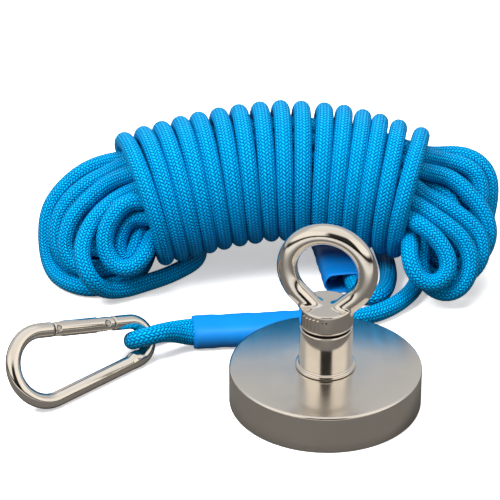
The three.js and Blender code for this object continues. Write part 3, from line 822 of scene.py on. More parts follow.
def pot_plating(name, colour, smooth, dull):
    """Bright plating whose flat top keeps the fine rings of the lathe."""
    material = plated_metal(name, colour, smooth, dull, scratches=0.12, bump=0.000003)
    tree = material.node_tree
    if tree.nodes.get("Lathe Rings"):
        return material
    shader = tree.nodes["Principled BSDF"]
    place = node(tree, "ShaderNodeTexCoord")
    flat = node(tree, "ShaderNodeVectorMath", operation="MULTIPLY")
    flat.inputs[1].default_value = (1.0, 1.0, 0.0)
    tree.links.new(place.outputs["Object"], flat.inputs[0])
    reach = node(tree, "ShaderNodeVectorMath", operation="LENGTH")
    tree.links.new(flat.outputs[0], reach.inputs[0])
    rings = node(tree, "ShaderNodeTexNoise", noise_dimensions="1D", name="Lathe Rings")
    rings.inputs["Scale"].default_value = 2600.0
    tree.links.new(reach.outputs["Value"], rings.inputs["W"])
    facing = node(tree, "ShaderNodeSeparateXYZ")
    surface = node(tree, "ShaderNodeNewGeometry")
    tree.links.new(surface.outputs["True Normal"], facing.inputs[0])
    top = calc(tree, "GREATER_THAN", facing.outputs["Z"], 0.99)
    old = shader.inputs["Roughness"].links[0].from_socket
    rough = calc(tree, "MULTIPLY_ADD", top, 0.09, old)
    tree.links.new(rough, shader.inputs["Roughness"])
    bump = node(tree, "ShaderNodeBump")
    bump.inputs["Strength"].default_value = 0.2
    bump.inputs["Distance"].default_value = 0.000003
    tree.links.new(calc(tree, "MULTIPLY", rings.outputs["Fac"], top), bump.inputs["Height"])
    tree.links.new(shader.inputs["Normal"].links[0].from_socket, bump.inputs["Normal"])
    tree.links.new(bump.outputs[0], shader.inputs["Normal"])
    shader.inputs["Anisotropic"].default_value = 0.35
    sheen = node(tree, "ShaderNodeTangent", direction_type="RADIAL", axis="Z")
    tree.links.new(sheen.outputs[0], shader.inputs["Tangent"])
    return material


def braided_rope(name, top_colour, hollow_shade_colour):
    """Polyester braid: bright floats, a painted shade where strands dive, and a soft fibre grain.
    """
    material, tree, shader = blank_material(name)
    if tree is None:
        return material
    shader.inputs["Specular IOR Level"].default_value = 0.4
    shader.inputs["Specular Tint"].default_value = (0.06, 0.62, 1.0, 1.0)
    braid = use_group(tree, "Twill Braid", Strands=16.0, Row_Length=0.0017)
    haze = use_group(tree, "Handling Haze", Scale=30.0, Contrast=1.6).outputs["Mask"]
    height = braid.outputs["Height"]
    # Painted shade: the colour darkens from the floats into the hollows where strands dive.
    shade = calc(tree, "POWER", height, 1.6)
    base = mixed_colour(tree, shade, hollow_shade_colour, top_colour)
    side = node(tree, "ShaderNodeMix", data_type="RGBA", blend_type="MULTIPLY")
    tree.links.new(base, side.inputs["A"])
    side.inputs["B"].default_value = (0.72, 0.80, 0.90, 1.0)
    lean = calc(tree, "MULTIPLY", braid.outputs["Lean"], 0.6)
    tree.links.new(calc(tree, "MULTIPLY_ADD", haze, 0.3, lean), side.inputs["Factor"])
    tree.links.new(side.outputs["Result"], shader.inputs["Base Color"])
    tree.links.new(ranged(tree, height, 0.75, 0.34), shader.inputs["Roughness"])
    relief = calc(tree, "MULTIPLY_ADD", braid.outputs["Fibre"], 0.12, height)
    bump = node(tree, "ShaderNodeBump")
    bump.inputs["Strength"].default_value = 0.8
    bump.inputs["Distance"].default_value = 0.001
    tree.links.new(relief, bump.inputs["Height"])
    tree.links.new(bump.outputs[0], shader.inputs["Normal"])
    return material


def soft_plastic(name, colour, smooth, dull, grain=600.0, bump=0.00005, shade=0.8):
    """Matt to satin plastic or rubber with a fine grain."""
    material, tree, shader = blank_material(name)
    if tree is None:
        return material
    haze = use_group(tree, "Handling Haze", Scale=45.0, Contrast=2.0).outputs["Mask"]
    darker = [shade * part for part in colour[:3]]
    tree.links.new(mixed_colour(tree, haze, colour, darker), shader.inputs["Base Color"])
    tree.links.new(ranged(tree, haze, smooth, dull), shader.inputs["Roughness"])
    noise = node(tree, "ShaderNodeTexNoise")
    noise.inputs["Scale"].default_value = grain
    noise.inputs["Detail"].default_value = 4.0
    place = node(tree, "ShaderNodeTexCoord")
    tree.links.new(place.outputs["Object"], noise.inputs["Vector"])
    relief = node(tree, "ShaderNodeBump")
    relief.inputs["Strength"].default_value = 0.4
    relief.inputs["Distance"].default_value = bump
    tree.links.new(noise.outputs["Fac"], relief.inputs["Height"])
    tree.links.new(relief.outputs[0], shader.inputs["Normal"])
    return material


# ---------- Geometry node trees ----------
def geometry_tree(name, inputs):
    """An empty geometry tree with named inputs and one geometry output."""
    tree = bpy.data.node_groups.new(name, "GeometryNodeTree")
    tree.interface.new_socket("Geometry", in_out="INPUT", socket_type="NodeSocketGeometry")
    for socket, kind, value in inputs:
        made = tree.interface.new_socket(socket, in_out="INPUT", socket_type=kind)
        if value is not None:
            made.default_value = value
    tree.interface.new_socket("Geometry", in_out="OUTPUT", socket_type="NodeSocketGeometry")
    return tree, node(tree, "NodeGroupInput"), node(tree, "NodeGroupOutput")


def finish_tree(tree, geometry, given, result):
    realize = node(tree, "GeometryNodeRealizeInstances")
    paint = node(tree, "GeometryNodeSetMaterial")
    tree.links.new(geometry, realize.inputs[0])
    tree.links.new(realize.outputs[0], paint.inputs["Geometry"])
    tree.links.new(given.outputs["Material"], paint.inputs["Material"])
    tree.links.new(paint.outputs[0], result.inputs[0])


def mesh_of_tree(name, tree, values):
    """Runs a geometry tree with the given inputs, and returns its result as a plain mesh."""
    holder = bpy.data.objects.new(name + "_maker", bpy.data.meshes.new(name + "_seed"))
    bpy.context.scene.collection.objects.link(holder)
    modifier = holder.modifiers.new("Maker", "NODES")
    modifier.node_group = tree
    for item in tree.interface.items_tree:
        if item.item_type == "SOCKET" and item.in_out == "INPUT" and item.name in values:
            modifier[item.identifier] = values[item.name]
    holder.update_tag()
    bpy.context.view_layer.update()
    seen = holder.evaluated_get(bpy.context.evaluated_depsgraph_get())
    mesh = bpy.data.meshes.new_from_object(seen)
    mesh.name = name
    holder.modifiers.clear()
    bpy.data.objects.remove(holder)
    return mesh


def coil_tree():
    """A coil spring of round wire, wound about Z."""
    tree, given, result = geometry_tree("Coil Spring", [
        ("Turns", "NodeSocketFloat", 5.0), ("Radius", "NodeSocketFloat", 0.0017),
        ("Length", "NodeSocketFloat", 0.011), ("Wire", "NodeSocketFloat", 0.0007),
        ("Material", "NodeSocketMaterial", None),
    ])
    coil = node(tree, "GeometryNodeCurveSpiral")
    coil.inputs["Resolution"].default_value = 32
    wire = node(tree, "GeometryNodeCurvePrimitiveCircle")
    wire.inputs["Resolution"].default_value = 12
    half = node(tree, "ShaderNodeMath", operation="MULTIPLY")
    half.inputs[1].default_value = 0.5
    sweep = node(tree, "GeometryNodeCurveToMesh")
    sweep.inputs["Fill Caps"].default_value = True
    tree.links.new(given.outputs["Turns"], coil.inputs["Rotations"])
    tree.links.new(given.outputs["Radius"], coil.inputs["Start Radius"])
    tree.links.new(given.outputs["Radius"], coil.inputs["End Radius"])
    tree.links.new(given.outputs["Length"], coil.inputs["Height"])
    tree.links.new(given.outputs["Wire"], half.inputs[0])
    tree.links.new(half.outputs[0], wire.inputs["Radius"])
    tree.links.new(coil.outputs[0], sweep.inputs["Curve"])
    tree.links.new(wire.outputs[0], sweep.inputs["Profile Curve"])
    finish_tree(tree, sweep.outputs[0], given, result)
    return tree


def raised_bars_tree():
    """Upright raised bars of uneven height, spaced along part of a collar's side."""
    tree, given, result = geometry_tree("Raised Bars", [
        ("Count", "NodeSocketInt", 7), ("Radius", "NodeSocketFloat", 0.0125),
        ("From Angle", "NodeSocketFloat", 0.0), ("To Angle", "NodeSocketFloat", 1.0),
        ("Width", "NodeSocketFloat", 0.0008), ("Height", "NodeSocketFloat", 0.005),
        ("Stand Out", "NodeSocketFloat", 0.0004), ("Seed", "NodeSocketInt", 3),
        ("Material", "NodeSocketMaterial", None),
    ])
    points = node(tree, "GeometryNodeMeshLine")
    tree.links.new(given.outputs["Count"], points.inputs["Count"])
    index = node(tree, "GeometryNodeInputIndex")
    last = calc(tree, "SUBTRACT", given.outputs["Count"], 1.0)
    share = calc(tree, "DIVIDE", index.outputs[0], last)
    span = calc(tree, "SUBTRACT", given.outputs["To Angle"], given.outputs["From Angle"])
    angle = calc(tree, "ADD", calc(tree, "MULTIPLY", share, span), given.outputs["From Angle"])
    place = node(tree, "ShaderNodeCombineXYZ")
    out = given.outputs["Radius"]
    tree.links.new(calc(tree, "MULTIPLY", calc(tree, "COSINE", angle), out), place.inputs["X"])
    tree.links.new(calc(tree, "MULTIPLY", calc(tree, "SINE", angle), out), place.inputs["Y"])
    spot = node(tree, "GeometryNodeSetPosition")
    tree.links.new(points.outputs[0], spot.inputs["Geometry"])
    tree.links.new(place.outputs[0], spot.inputs["Position"])
    size = node(tree, "ShaderNodeCombineXYZ")
    deep = calc(tree, "MULTIPLY", given.outputs["Stand Out"], 2.0)
    tree.links.new(deep, size.inputs["X"])
    tree.links.new(given.outputs["Width"], size.inputs["Y"])
    tree.links.new(given.outputs["Height"], size.inputs["Z"])
    bar = node(tree, "GeometryNodeMeshCube")
    tree.links.new(size.outputs[0], bar.inputs["Size"])
    for axis, count in (("Vertices X", 2), ("Vertices Y", 3), ("Vertices Z", 4)):
        bar.inputs[axis].default_value = count
    turn = node(tree, "ShaderNodeCombineXYZ")
    tree.links.new(angle, turn.inputs["Z"])
    rise = node(tree, "FunctionNodeRandomValue", data_type="FLOAT")
    rise.inputs[2].default_value = 0.55
    rise.inputs[3].default_value = 1.0
    tree.links.new(given.outputs["Seed"], rise.inputs["Seed"])
    stretch = node(tree, "ShaderNodeCombineXYZ")
    stretch.inputs["X"].default_value = 1.0
    stretch.inputs["Y"].default_value = 1.0
    tree.links.new(rise.outputs[1], stretch.inputs["Z"])
    copies = node(tree, "GeometryNodeInstanceOnPoints")
    tree.links.new(spot.outputs[0], copies.inputs["Points"])
    tree.links.new(bar.outputs["Mesh"], copies.inputs["Instance"])
    tree.links.new(turn.outputs[0], copies.inputs["Rotation"])
    tree.links.new(stretch.outputs[0], copies.inputs["Scale"])
    finish_tree(tree, copies.outputs[0], given, result)
    return tree


# ---------- Settings ----------
def length_setting(name, description, default):
    return bpy.props.FloatProperty(
        name=name, description=description, default=default, min=0.0, unit="LENGTH", precision=5
    )


def colour_setting(name, description, default):
    return bpy.props.FloatVectorProperty(
        name=name, description=description, default=default, subtype="COLOR", size=3,
        min=0.0, max=1.0,
    )


class MagnetSettings(bpy.types.PropertyGroup):
    edge_round: length_setting("Pot edge round", "Radius of the pot's outer edges", 0.0013)
    pot_rim: length_setting("Pot rim", "Width of the steel rim round the magnet", 0.006)
    pot_roof: length_setting("Pot roof", "Thickness of the pot's top", 0.007)
    centre_bore: length_setting("Centre bore", "Diameter of the hole for the screw", 0.0086)
    neck_foot: length_setting("Neck foot", "Diameter of the neck's foot", 0.028)
    neck_foot_height: length_setting("Neck foot height", "Height of the neck's foot", 0.0014)
    neck_diameter: length_setting("Neck diameter", "Diameter of the neck", 0.0248)
    neck_bore: length_setting("Neck bore", "Diameter of the neck's threaded hole", 0.0106)
    neck_bore_depth: length_setting("Neck bore depth", "Depth of the threaded hole", 0.013)


class EyeboltSettings(bpy.types.PropertyGroup):
    wire: length_setting("Eye wire", "Diameter of the eye's round section", 0.0095)
    inside: length_setting("Eye inside", "Inside diameter of the eye", 0.028)
    eye_height: length_setting("Eye height", "Height of the eye's middle above the collar", 0.028)
    leg_end: length_setting("Leg end", "Height at which the eye's legs end", 0.0055)
    collar: length_setting("Collar diameter", "Diameter of the collar", 0.025)
    collar_height: length_setting("Collar height", "Height of the collar", 0.0102)
    collar_round: length_setting("Collar edge", "Radius of the collar's edges", 0.0008)
    fillet: length_setting("Fillet", "Blend between the eye and its collar", 0.0016)
    thread: length_setting("Thread", "Outer diameter of the thread", 0.010)
    thread_pitch: length_setting("Thread pitch", "Distance between threads", 0.0015)
    thread_length: length_setting("Thread length", "Length of the thread", 0.012)
    turn: bpy.props.FloatProperty(
        name="Turn", description="How far the eye is turned from square", subtype="ANGLE",
        default=math.radians(-14),
    )
    bars: bpy.props.IntProperty(
        name="Raised bars", description="Number of raised bars on the collar", default=7, min=2
    )


class HookSettings(bpy.types.PropertyGroup):
    wire: length_setting("Hook wire", "Diameter of the hook's wire", 0.0072)
    wide: length_setting("Wide bend", "Middle radius of the wide bend", 0.0166)
    narrow: length_setting("Narrow bend", "Middle radius of the narrow bend", 0.0093)
    centres: length_setting("Centres", "Distance between the two bends' centres", 0.051)
    gate: length_setting("Gate diameter", "Diameter of the gate", 0.0076)
    nose_gap: length_setting("Nose gap", "Gap between the nose and the gate", 0.0005)
    nose: length_setting("Nose", "Distance of the nose past the wide bend", 0.0067)
    rivet: length_setting("Rivet place", "Distance of the gate's rivet past the wide bend", 0.0363)
    gate_end: length_setting("Gate end", "Radius of the gate's rounded end", 0.0042)
    slot: length_setting("Slot", "Width of the gate's slots", 0.0032)
    spring_turns: bpy.props.FloatProperty(
        name="Spring turns", description="Turns of the gate's spring", default=5.0, min=1.0
    )


class RopeSettings(bpy.types.PropertyGroup):
    diameter: length_setting("Rope diameter", "Diameter of the braided rope", 0.0088)
    tightest: length_setting("Tightest bend", "Radius below which the rope won't bend", 0.015)
    sleeve_wall: length_setting("Sleeve wall", "Wall of the shrunk sleeves", 0.0010)
    end_inset: length_setting("End inset", "How far the rope's ends stop inside the sleeves", 0.008)
    sides: bpy.props.IntProperty(
        name="Sides", description="Facets round the rope", default=20, min=8
    )


class ColourSettings(bpy.types.PropertyGroup):
    nickel: colour_setting("Nickel", "Bright nickel plating", (0.80, 0.765, 0.715))
    zinc: colour_setting("Zinc", "Zinc plated pins and spring", (0.52, 0.52, 0.50))
    brass: colour_setting("Brass", "Centre bush", (0.72, 0.52, 0.24))
    magnet: colour_setting("Magnet", "Plated magnet ring", (0.60, 0.61, 0.63))
    resin: colour_setting("Resin", "Sealing resin", (0.014, 0.014, 0.016))
    rubber: colour_setting("Rubber", "Sealing washer", (0.008, 0.008, 0.008))
    rope_top: colour_setting("Rope", "Rope where its strands stand up", (0.0005, 0.52, 0.97))
    # Painted shade: the rope's colour in the hollows between its strands.
    rope_hollow_shade: colour_setting("Rope hollows", "Rope between its strands", (0.0, 0.03, 0.20))
    sleeve: colour_setting("Sleeve", "Shrunk plastic sleeves", (0.002, 0.205, 0.64))
    floor: colour_setting("Floor", "Studio floor", (0.92, 0.92, 0.92))


SETTINGS = {
    "magnet_sizes": MagnetSettings, "eyebolt_sizes": EyeboltSettings, "hook_sizes": HookSettings,
    "rope_sizes": RopeSettings, "set_colours": ColourSettings,
}


def nickel(context, name="Nickel"):
    return plated_metal(name, context.scene.set_colours.nickel, 0.055, 0.2)


def zinc(context):
    return plated_metal("Zinc", context.scene.set_colours.zinc, 0.28, 0.5, scratches=0.8)


# ---------- Stage ----------
CAMERA_PLACE = (-0.035174, -0.943368, 0.619568)
CAMERA_LOOK_DOWN = math.radians(29.743)
CAMERA_LENS = 172.717
SOFTBOXES = (
    # name, place, looks at, width, height, power
    ("Key", (-0.65, -0.45, 1.05), (0.0, 0.05, 0.03), 0.45, 0.45, 17.0),
    ("Fill", (0.95, -0.45, 0.75), (0.0, 0.05, 0.03), 0.5, 0.9, 4.0),
    ("Top", (0.0, 0.10, 1.35), (0.0, 0.08, 0.0), 0.8, 0.8, 19.0),
)
WORLD_LIGHT = 0.26
SCREEN_GAP = 0.34
SCREENS = 1.15
REAR_WALL = 0.60
CEILING = 1.0
# Painted reflection and shade: floor colours that only reflection and bounce rays see, dark under
# and near the set and paler in front of it.
PAINTED_FLOOR_REFLECTION = (0.098, 0.092, 0.085, 1.0)
PAINTED_FLOOR_REFLECTION_FAR = (0.46, 0.44, 0.41, 1.0)
# Painted light: strength of a glow that the camera alone sees on the floor, lifting its shadows.
FLOOR_PAINTED_GLOW = 0.45


class MAGNETSET_OT_stage(bpy.types.Operator):
    """Add the floor, the soft lights and the camera"""

    bl_idname = "magnetset.stage"
    bl_label = "Stage"

    def execute(self, context):
        scene = context.scene
        camera = bpy.data.objects.new("Camera", bpy.data.cameras.new("Camera"))
        camera.data.lens = CAMERA_LENS
        camera.data.sensor_width = 36.0
        camera.data.clip_start = 0.05
        camera.location = CAMERA_PLACE
        camera.rotation_euler = (math.pi / 2 - CAMERA_LOOK_DOWN, 0.0, 0.0)
        scene.collection.objects.link(camera)
        scene.camera = camera
        scene.view_settings.view_transform = "Standard"
        for name, place, aim, width, height, power in SOFTBOXES:
            light = bpy.data.lights.new(name, "AREA")
            light.shape, light.size, light.size_y, light.energy = "RECTANGLE", width, height, power
            lamp = bpy.data.objects.new(name, light)
            lamp.visible_glossy = False
            lamp.location = place
            lamp.rotation_mode = "QUATERNION"
            lamp.rotation_quaternion = (Vector(aim) - Vector(place)).to_track_quat("-Z", "Y")
            scene.collection.objects.link(lamp)
        scene.world = studio_world()
        half = 3.0
        corners = [(-half, -half, 0.0), (half, -half, 0.0), (half, half, 0.0), (-half, half, 0.0)]
        mesh = mesh_from("Floor", corners, [(0, 1, 2, 3)])
        mesh.materials.append(floor_paper(scene.set_colours.floor))
        floor = bpy.data.objects.new("Floor", mesh)
        scene.collection.objects.link(floor)
        return {"FINISHED"}


def studio_world():
    """Even light for matt things, and light and dark screens for bright metal to mirror."""
    world = bpy.data.worlds.new("Studio")
    world.use_nodes = True
    tree = world.node_tree
    place, parts = node(tree, "ShaderNodeTexCoord"), node(tree, "ShaderNodeSeparateXYZ")
    tree.links.new(place.outputs["Generated"], parts.inputs[0])
    x, y, z = (parts.outputs[axis] for axis in "XYZ")
    level = calc(tree, "SQRT", calc(tree, "MULTIPLY_ADD", x, x, calc(tree, "MULTIPLY", y, y)))
    aside = calc(tree, "ABSOLUTE", calc(tree, "DIVIDE", x, calc(tree, "MAXIMUM", level, 0.01)))
    panels = between(tree, aside, SCREEN_GAP, SCREEN_GAP + 0.16, 0.03, SCREENS)
    panels = calc(tree, "MULTIPLY", panels, between(tree, z, 0.08, 0.24, 0.03, 1.0))
    rear = between(tree, y, -0.15, 0.35, 0.0, 1.0)
    wall = mixed_value(tree, rear, panels, REAR_WALL)
    ceiling = between(tree, z, 0.62, 0.84, 0.0, 1.0)
    mirrored = mixed_value(tree, ceiling, wall, CEILING)
    rays = node(tree, "ShaderNodeLightPath")
    strength = mixed_value(tree, rays.outputs["Is Glossy Ray"], WORLD_LIGHT, mirrored)
    background = tree.nodes["Background"]
    warm = calc(tree, "MULTIPLY", rays.outputs["Is Glossy Ray"], calc(tree, "SUBTRACT", 1.0, rear))
    tint = node(tree, "ShaderNodeMix", data_type="RGBA")
    tint.inputs["A"].default_value = (1.0, 0.985, 0.965, 1.0)
    tint.inputs["B"].default_value = (1.0, 0.925, 0.83, 1.0)
    tree.links.new(warm, tint.inputs["Factor"])
    tree.links.new(tint.outputs["Result"], background.inputs["Color"])
    tree.links.new(strength, background.inputs["Strength"])
    return world


def between(tree, value, low, high, first, last):
    """Value eased from first to last as it goes from low to high."""
    ease = node(tree, "ShaderNodeMapRange", interpolation_type="SMOOTHSTEP")
    tree.links.new(value, ease.inputs["Value"])
    for socket, number in (
        ("From Min", low), ("From Max", high), ("To Min", first), ("To Max", last),
    ):
        ease.inputs[socket].default_value = number
    return ease.outputs["Result"]


def mixed_value(tree, factor, first, last):
    blend = node(tree, "ShaderNodeMix", data_type="FLOAT")
    for socket, value in (("Factor", factor), ("A", first), ("B", last)):
        if isinstance(value, bpy.types.NodeSocket):
            tree.links.new(value, blend.inputs[socket])
        else:
            blend.inputs[socket].default_value = value
    return blend.outputs["Result"]


def floor_paper(colour):
    """Pale studio paper, with painted reflection and painted shade: reflection and bounce rays see
    a dimmer floor colour, so the metal mirrors a painted dark floor and the rope gets less bounce
    light; the camera sees the floor with a painted glow that lifts its shadows.
    """
    material = soft_plastic("Floor Paper", colour, 0.85, 0.95, grain=300.0, shade=0.985)
    tree = material.node_tree
    shader = tree.nodes["Principled BSDF"]
    shader.inputs["Specular IOR Level"].default_value = 0.1
    pale = shader.inputs["Base Color"].links[0].from_socket
    rays = node(tree, "ShaderNodeLightPath")
    seen = node(tree, "ShaderNodeMix", data_type="RGBA")
    place, parts = node(tree, "ShaderNodeTexCoord"), node(tree, "ShaderNodeSeparateXYZ")
    tree.links.new(place.outputs["Object"], parts.inputs[0])
    # Painted reflection: the floor colour for reflection and bounce rays, dark near the set and
    # paler in front of it; by cutting the bounce light it also paints shade under the rope.
    nearness = between(tree, parts.outputs["Y"], -0.19, -0.075, 0.0, 1.0)
    mirrored = mixed_colour(tree, nearness, PAINTED_FLOOR_REFLECTION_FAR, PAINTED_FLOOR_REFLECTION)
    tree.links.new(mirrored, seen.inputs["A"])
    tree.links.new(pale, seen.inputs["B"])
    tree.links.new(rays.outputs["Is Camera Ray"], seen.inputs["Factor"])
    tree.links.new(seen.outputs["Result"], shader.inputs["Base Color"])
    # Painted light: the floor glows white to the camera alone, which lifts its shadows.
    shadow_lifting_glow = calc(tree, "MULTIPLY", rays.outputs["Is Camera Ray"], FLOOR_PAINTED_GLOW)
    shader.inputs["Emission Color"].default_value = (1.0, 1.0, 1.0, 1.0)
    tree.links.new(shadow_lifting_glow, shader.inputs["Emission Strength"])
    return material


# ---------- Rope and sleeves ----------
class MAGNETSET_OT_rope(bpy.types.Operator):
    """Lay the rope from its eye in the hook, through the hank, to its other eye"""

    bl_idname = "magnetset.rope"
    bl_label = "Rope"

    def execute(self, context):
        sizes, colours = context.scene.rope_sizes, context.scene.set_colours
        points, kinds = laid_route(sizes.diameter)
        line, kinds = smooth_line(points, kinds, LAID_STEP)
        rounds = SETTLING_ROUNDS
        line = settled(line, kinds, sizes.diameter, LAID_STEP, sizes.tightest, rounds)
        line = softened(line, 3)
        inset = int(round(sizes.end_inset / LAID_STEP))
        line = line[inset:len(line) - inset]
        line = smooth_line(line, [0] * len(line), DRAWN_STEP)[0]
        radius = sizes.diameter / 2
        angles = 2 * math.pi * np.arange(sizes.sides) / sizes.sides
        ring = np.stack([radius * np.cos(angles), radius * np.sin(angles)], -1)
        full = [1.0] * (len(line) - 2 * len(END_TAPER))
        shares = [*END_TAPER, *full, *END_TAPER[::-1]]
        mesh = swept_tube("rope", line, [ring * share for share in shares])
        length = float(np.linalg.norm(np.diff(line, axis=0), axis=1).sum())
        tube_map(mesh, len(line), sizes.sides, length)
        material = braided_rope("Braided Rope", colours.rope_top, colours.rope_hollow_shade)
        rope = piece_from(
            "rope", mesh, material, "rope_set",
            ("clip_end_rope", "far_end_rope", "hank_turns", "hank_left_loops", "hank_right_loops"),
        )
        return {"FINISHED"}


def sleeve_section(aside, radius, steps):
    """A flattened round outline about two strands that lie side by side, as (side, up) points."""
    points = []
    for step in range(steps):
        angle = 2 * math.pi * (step + 0.5) / steps
        across, up = math.cos(angle), math.sin(angle)
        shift = aside * math.copysign(min(1.0, abs(across) * 2.2), across)
        dip = 1.0 - 0.05 * (1.0 - min(1.0, abs(across) * 2.2)) ** 2
        points.append((shift + radius * across, radius * up * dip))
    return np.array(points)


def shrunk_sleeve(name, route, aside, inner, wall):
    """A hollow sleeve with rolled lips, drawn in a little between its ends."""
    line = smooth_line(np.array(route), [0] * len(route), SLEEVE_STEP)[0]
    share = np.linspace(0.0, 1.0, len(line))
    swell = 0.00012 * np.sin(23.0 * share) + 0.0001 * np.sin(51.0 * share + 1.0)
    rings, sections = [], []
    steps = SLEEVE_FACETS
    lip = wall * 0.35
    for index in range(len(line)):
        at_end = index in (0, len(line) - 1)
        rings.append(line[index])
        outer = inner + wall + swell[index] - (lip if at_end else 0.0)
        sections.append(sleeve_section(aside, outer, steps))
    for index in reversed(range(len(line))):
        at_end = index in (0, len(line) - 1)
        rings.append(line[index])
        sections.append(sleeve_section(aside, inner + (lip if at_end else 0.0), steps))
    count = len(line)
    along = np.gradient(line, axis=0)
    along /= np.linalg.norm(along, axis=1)[:, None]
    points, faces = [], []
    for number, (place, section) in enumerate(zip(rings, sections)):
        station = number if number < count else 2 * count - 1 - number
        direction = along[station]
        up = np.array((0.0, 0.0, 1.0)) - direction * direction[2]
        up /= np.linalg.norm(up)
        side = np.cross(up, direction)
        points.append(place + section[:, :1] * side + section[:, 1:] * up)
    for number in range(2 * count):
        faces += quads_between(number, (number + 1) % (2 * count), steps)
    return mesh_from(name, np.vstack(points), faces)


class MAGNETSET_OT_sleeves(bpy.types.Operator):
    """Add the shrunk sleeves that hold the two spliced eyes"""

    bl_idname = "magnetset.sleeves"
    bl_label = "Sleeves"

    def execute(self, context):
        sizes = context.scene.rope_sizes
        aside = (sizes.diameter + STRAND_GAP) / 2
        inner = sizes.diameter / 2 + STRAND_GAP
        material = soft_plastic(
            "Shrunk Sleeve", context.scene.set_colours.sleeve, 0.42, 0.55, grain=260.0,
            bump=0.00025, shade=0.86,
        )
        for name, route in (
            ("clip_end_sleeve", CLIP_SLEEVE_ROUTE), ("far_end_sleeve", FAR_SLEEVE_ROUTE),
        ):
            skin = name + "_skin"
            mesh = shrunk_sleeve(skin, from_pot_edge(route), aside, inner, sizes.sleeve_wall)
            piece_from(skin, mesh, material, "rope_set", (name,))
        return {"FINISHED"}


# ---------- Magnet ----------
class MAGNETSET_OT_pot(bpy.types.Operator):
    """Add the magnet's turned steel pot"""

    bl_idname = "magnetset.pot"
    bl_label = "Pot"

    def execute(self, context):
        sizes, colours = context.scene.magnet_sizes, context.scene.set_colours
        bore, cavity = sizes.centre_bore / 2, POT_RADIUS - sizes.pot_rim
        low, high = POT_LOW.z, POT_HIGH.z
        roof = high - sizes.pot_roof
        edge = sizes.edge_round
        profile = rounded_profile([
            (bore, roof, 0.0003), (cavity, roof, 0.0004), (cavity, low, 0.0004),
            (POT_RADIUS, low, 0.6 * edge), (POT_RADIUS, high, edge), (bore, high, 0.0003),
        ])
        mesh = turned_mesh("pot", profile, 256)
        material = pot_plating("Pot Plating", colours.nickel, 0.09, 0.26)
        piece_from("pot", mesh, material, "magnet", ("steel_pot",))
        return {"FINISHED"}


class MAGNETSET_OT_neck(bpy.types.Operator):
    """Add the neck that the eyebolt screws into"""

    bl_idname = "magnetset.neck"
    bl_label = "Neck"

    def execute(self, context):
        sizes = context.scene.magnet_sizes
        low, high = NECK_LOW.z, NECK_HIGH.z
        foot, neck, bolt = sizes.neck_foot / 2, sizes.neck_diameter / 2, sizes.neck_bore / 2
        screw = sizes.centre_bore / 2
        step_up = low + sizes.neck_foot_height
        screw_top = low + 0.0073
        profile = rounded_profile([
            (screw, low, 0.0002), (foot, low, 0.0002), (foot, step_up, 0.0005),
            (neck, step_up + 0.0001, 0.0005), (neck, high, 0.0008), (bolt, high, 0.0006),
            (bolt, high - sizes.neck_bore_depth, 0.0003), (screw, screw_top, 0.0003),
        ])
        mesh = turned_mesh("neck", profile, 192)
        piece_from("neck", mesh, nickel(context), "magnet", ("threaded_neck",))
        return {"FINISHED"}


def threaded_rod(name, radius, pitch, low, high, depth=0.0006, segments=64):
    """A screw thread about Z, chamfered at its lower end."""
    heights = np.linspace(low, high, int((high - low) / pitch * 12))
    angles = 2 * math.pi * np.arange(segments) / segments
    sections = []
    for height in heights:
        wave = np.abs(((height / pitch - angles / (2 * math.pi)) % 1.0) * 2 - 1)
        reach = radius - depth * wave
        reach = np.minimum(reach, radius - depth + max(0.0, height - low) * 0.9)
        sections.append(np.stack([reach * np.cos(angles), reach * np.sin(angles)], -1))
    return swept_tube(name, [(0.0, 0.0, height) for height in heights], sections)


class MAGNETSET_OT_eyebolt(bpy.types.Operator):
    """Add the forged lifting eye with its collar, raised bars and thread"""

    bl_idname = "magnetset.eyebolt"
    bl_label = "Eyebolt"

    def execute(self, context):
        sizes = context.scene.eyebolt_sizes
        wire = sizes.wire / 2
        middle = (sizes.inside + sizes.wire) / 2
        leg = math.radians(45)
        height = sizes.eye_height
        start = np.array((middle * math.cos(leg), 0.0, height - middle * math.sin(leg)))
        run = (start[2] - sizes.leg_end) / math.cos(leg)
        end = start + run * np.array((-math.sin(leg), 0.0, -math.cos(leg)))
        half = sizes.collar_height / 2

        def forging(points):
            x, y, z = np.abs(points[:, 0]), points[:, 1], points[:, 2] - height
            ring = np.hypot(np.hypot(x, z) - middle, y) - wire
            ring = np.where(np.arctan2(z, x) < -leg, 1.0, ring)
            mirrored = np.stack([x, y, points[:, 2]], -1)
            eye = np.minimum(ring, rod_distance(mirrored, start, end, wire))
            collar = drum_distance(
                np.hypot(x, y), points[:, 2] - half, sizes.collar / 2, half, sizes.collar_round
            )
            return soft_join(eye, collar, sizes.fillet)

        reach = middle + wire + 0.001
        mesh = shell_from_distance(
            "eyebolt", forging, (-reach, -0.0135, -0.001), (reach, 0.0135, height + reach), 0.00055
        )
        place = (
            Matrix.Translation((0.0, 0.0, COLLAR_BOTTOM)) @ Matrix.Rotation(sizes.turn, 4, "Z")
        )
        mesh.transform(place)
        piece_from("eye_forging", mesh, nickel(context), "eyebolt", ("eyebolt",))
        thread = threaded_rod(
            "eye_thread", sizes.thread / 2, sizes.thread_pitch, -sizes.thread_length, 0.0015
        )
        thread.transform(place)
        piece_from("eye_thread", thread, zinc(context), "eyebolt", ())
        bars = mesh_of_tree("collar_bars", raised_bars_tree(), {
            "Count": sizes.bars, "Radius": sizes.collar / 2,
            "From Angle": math.radians(213), "To Angle": math.radians(268),
            "Height": 0.006, "Width": 0.0009, "Stand Out": 0.0006, "Material": nickel(context),
        })
        bars.transform(Matrix.Translation((0.0, 0.0, COLLAR_BOTTOM + half)))
        piece_from("collar_bars", bars, nickel(context), "eyebolt", ())
        return {"FINISHED"}


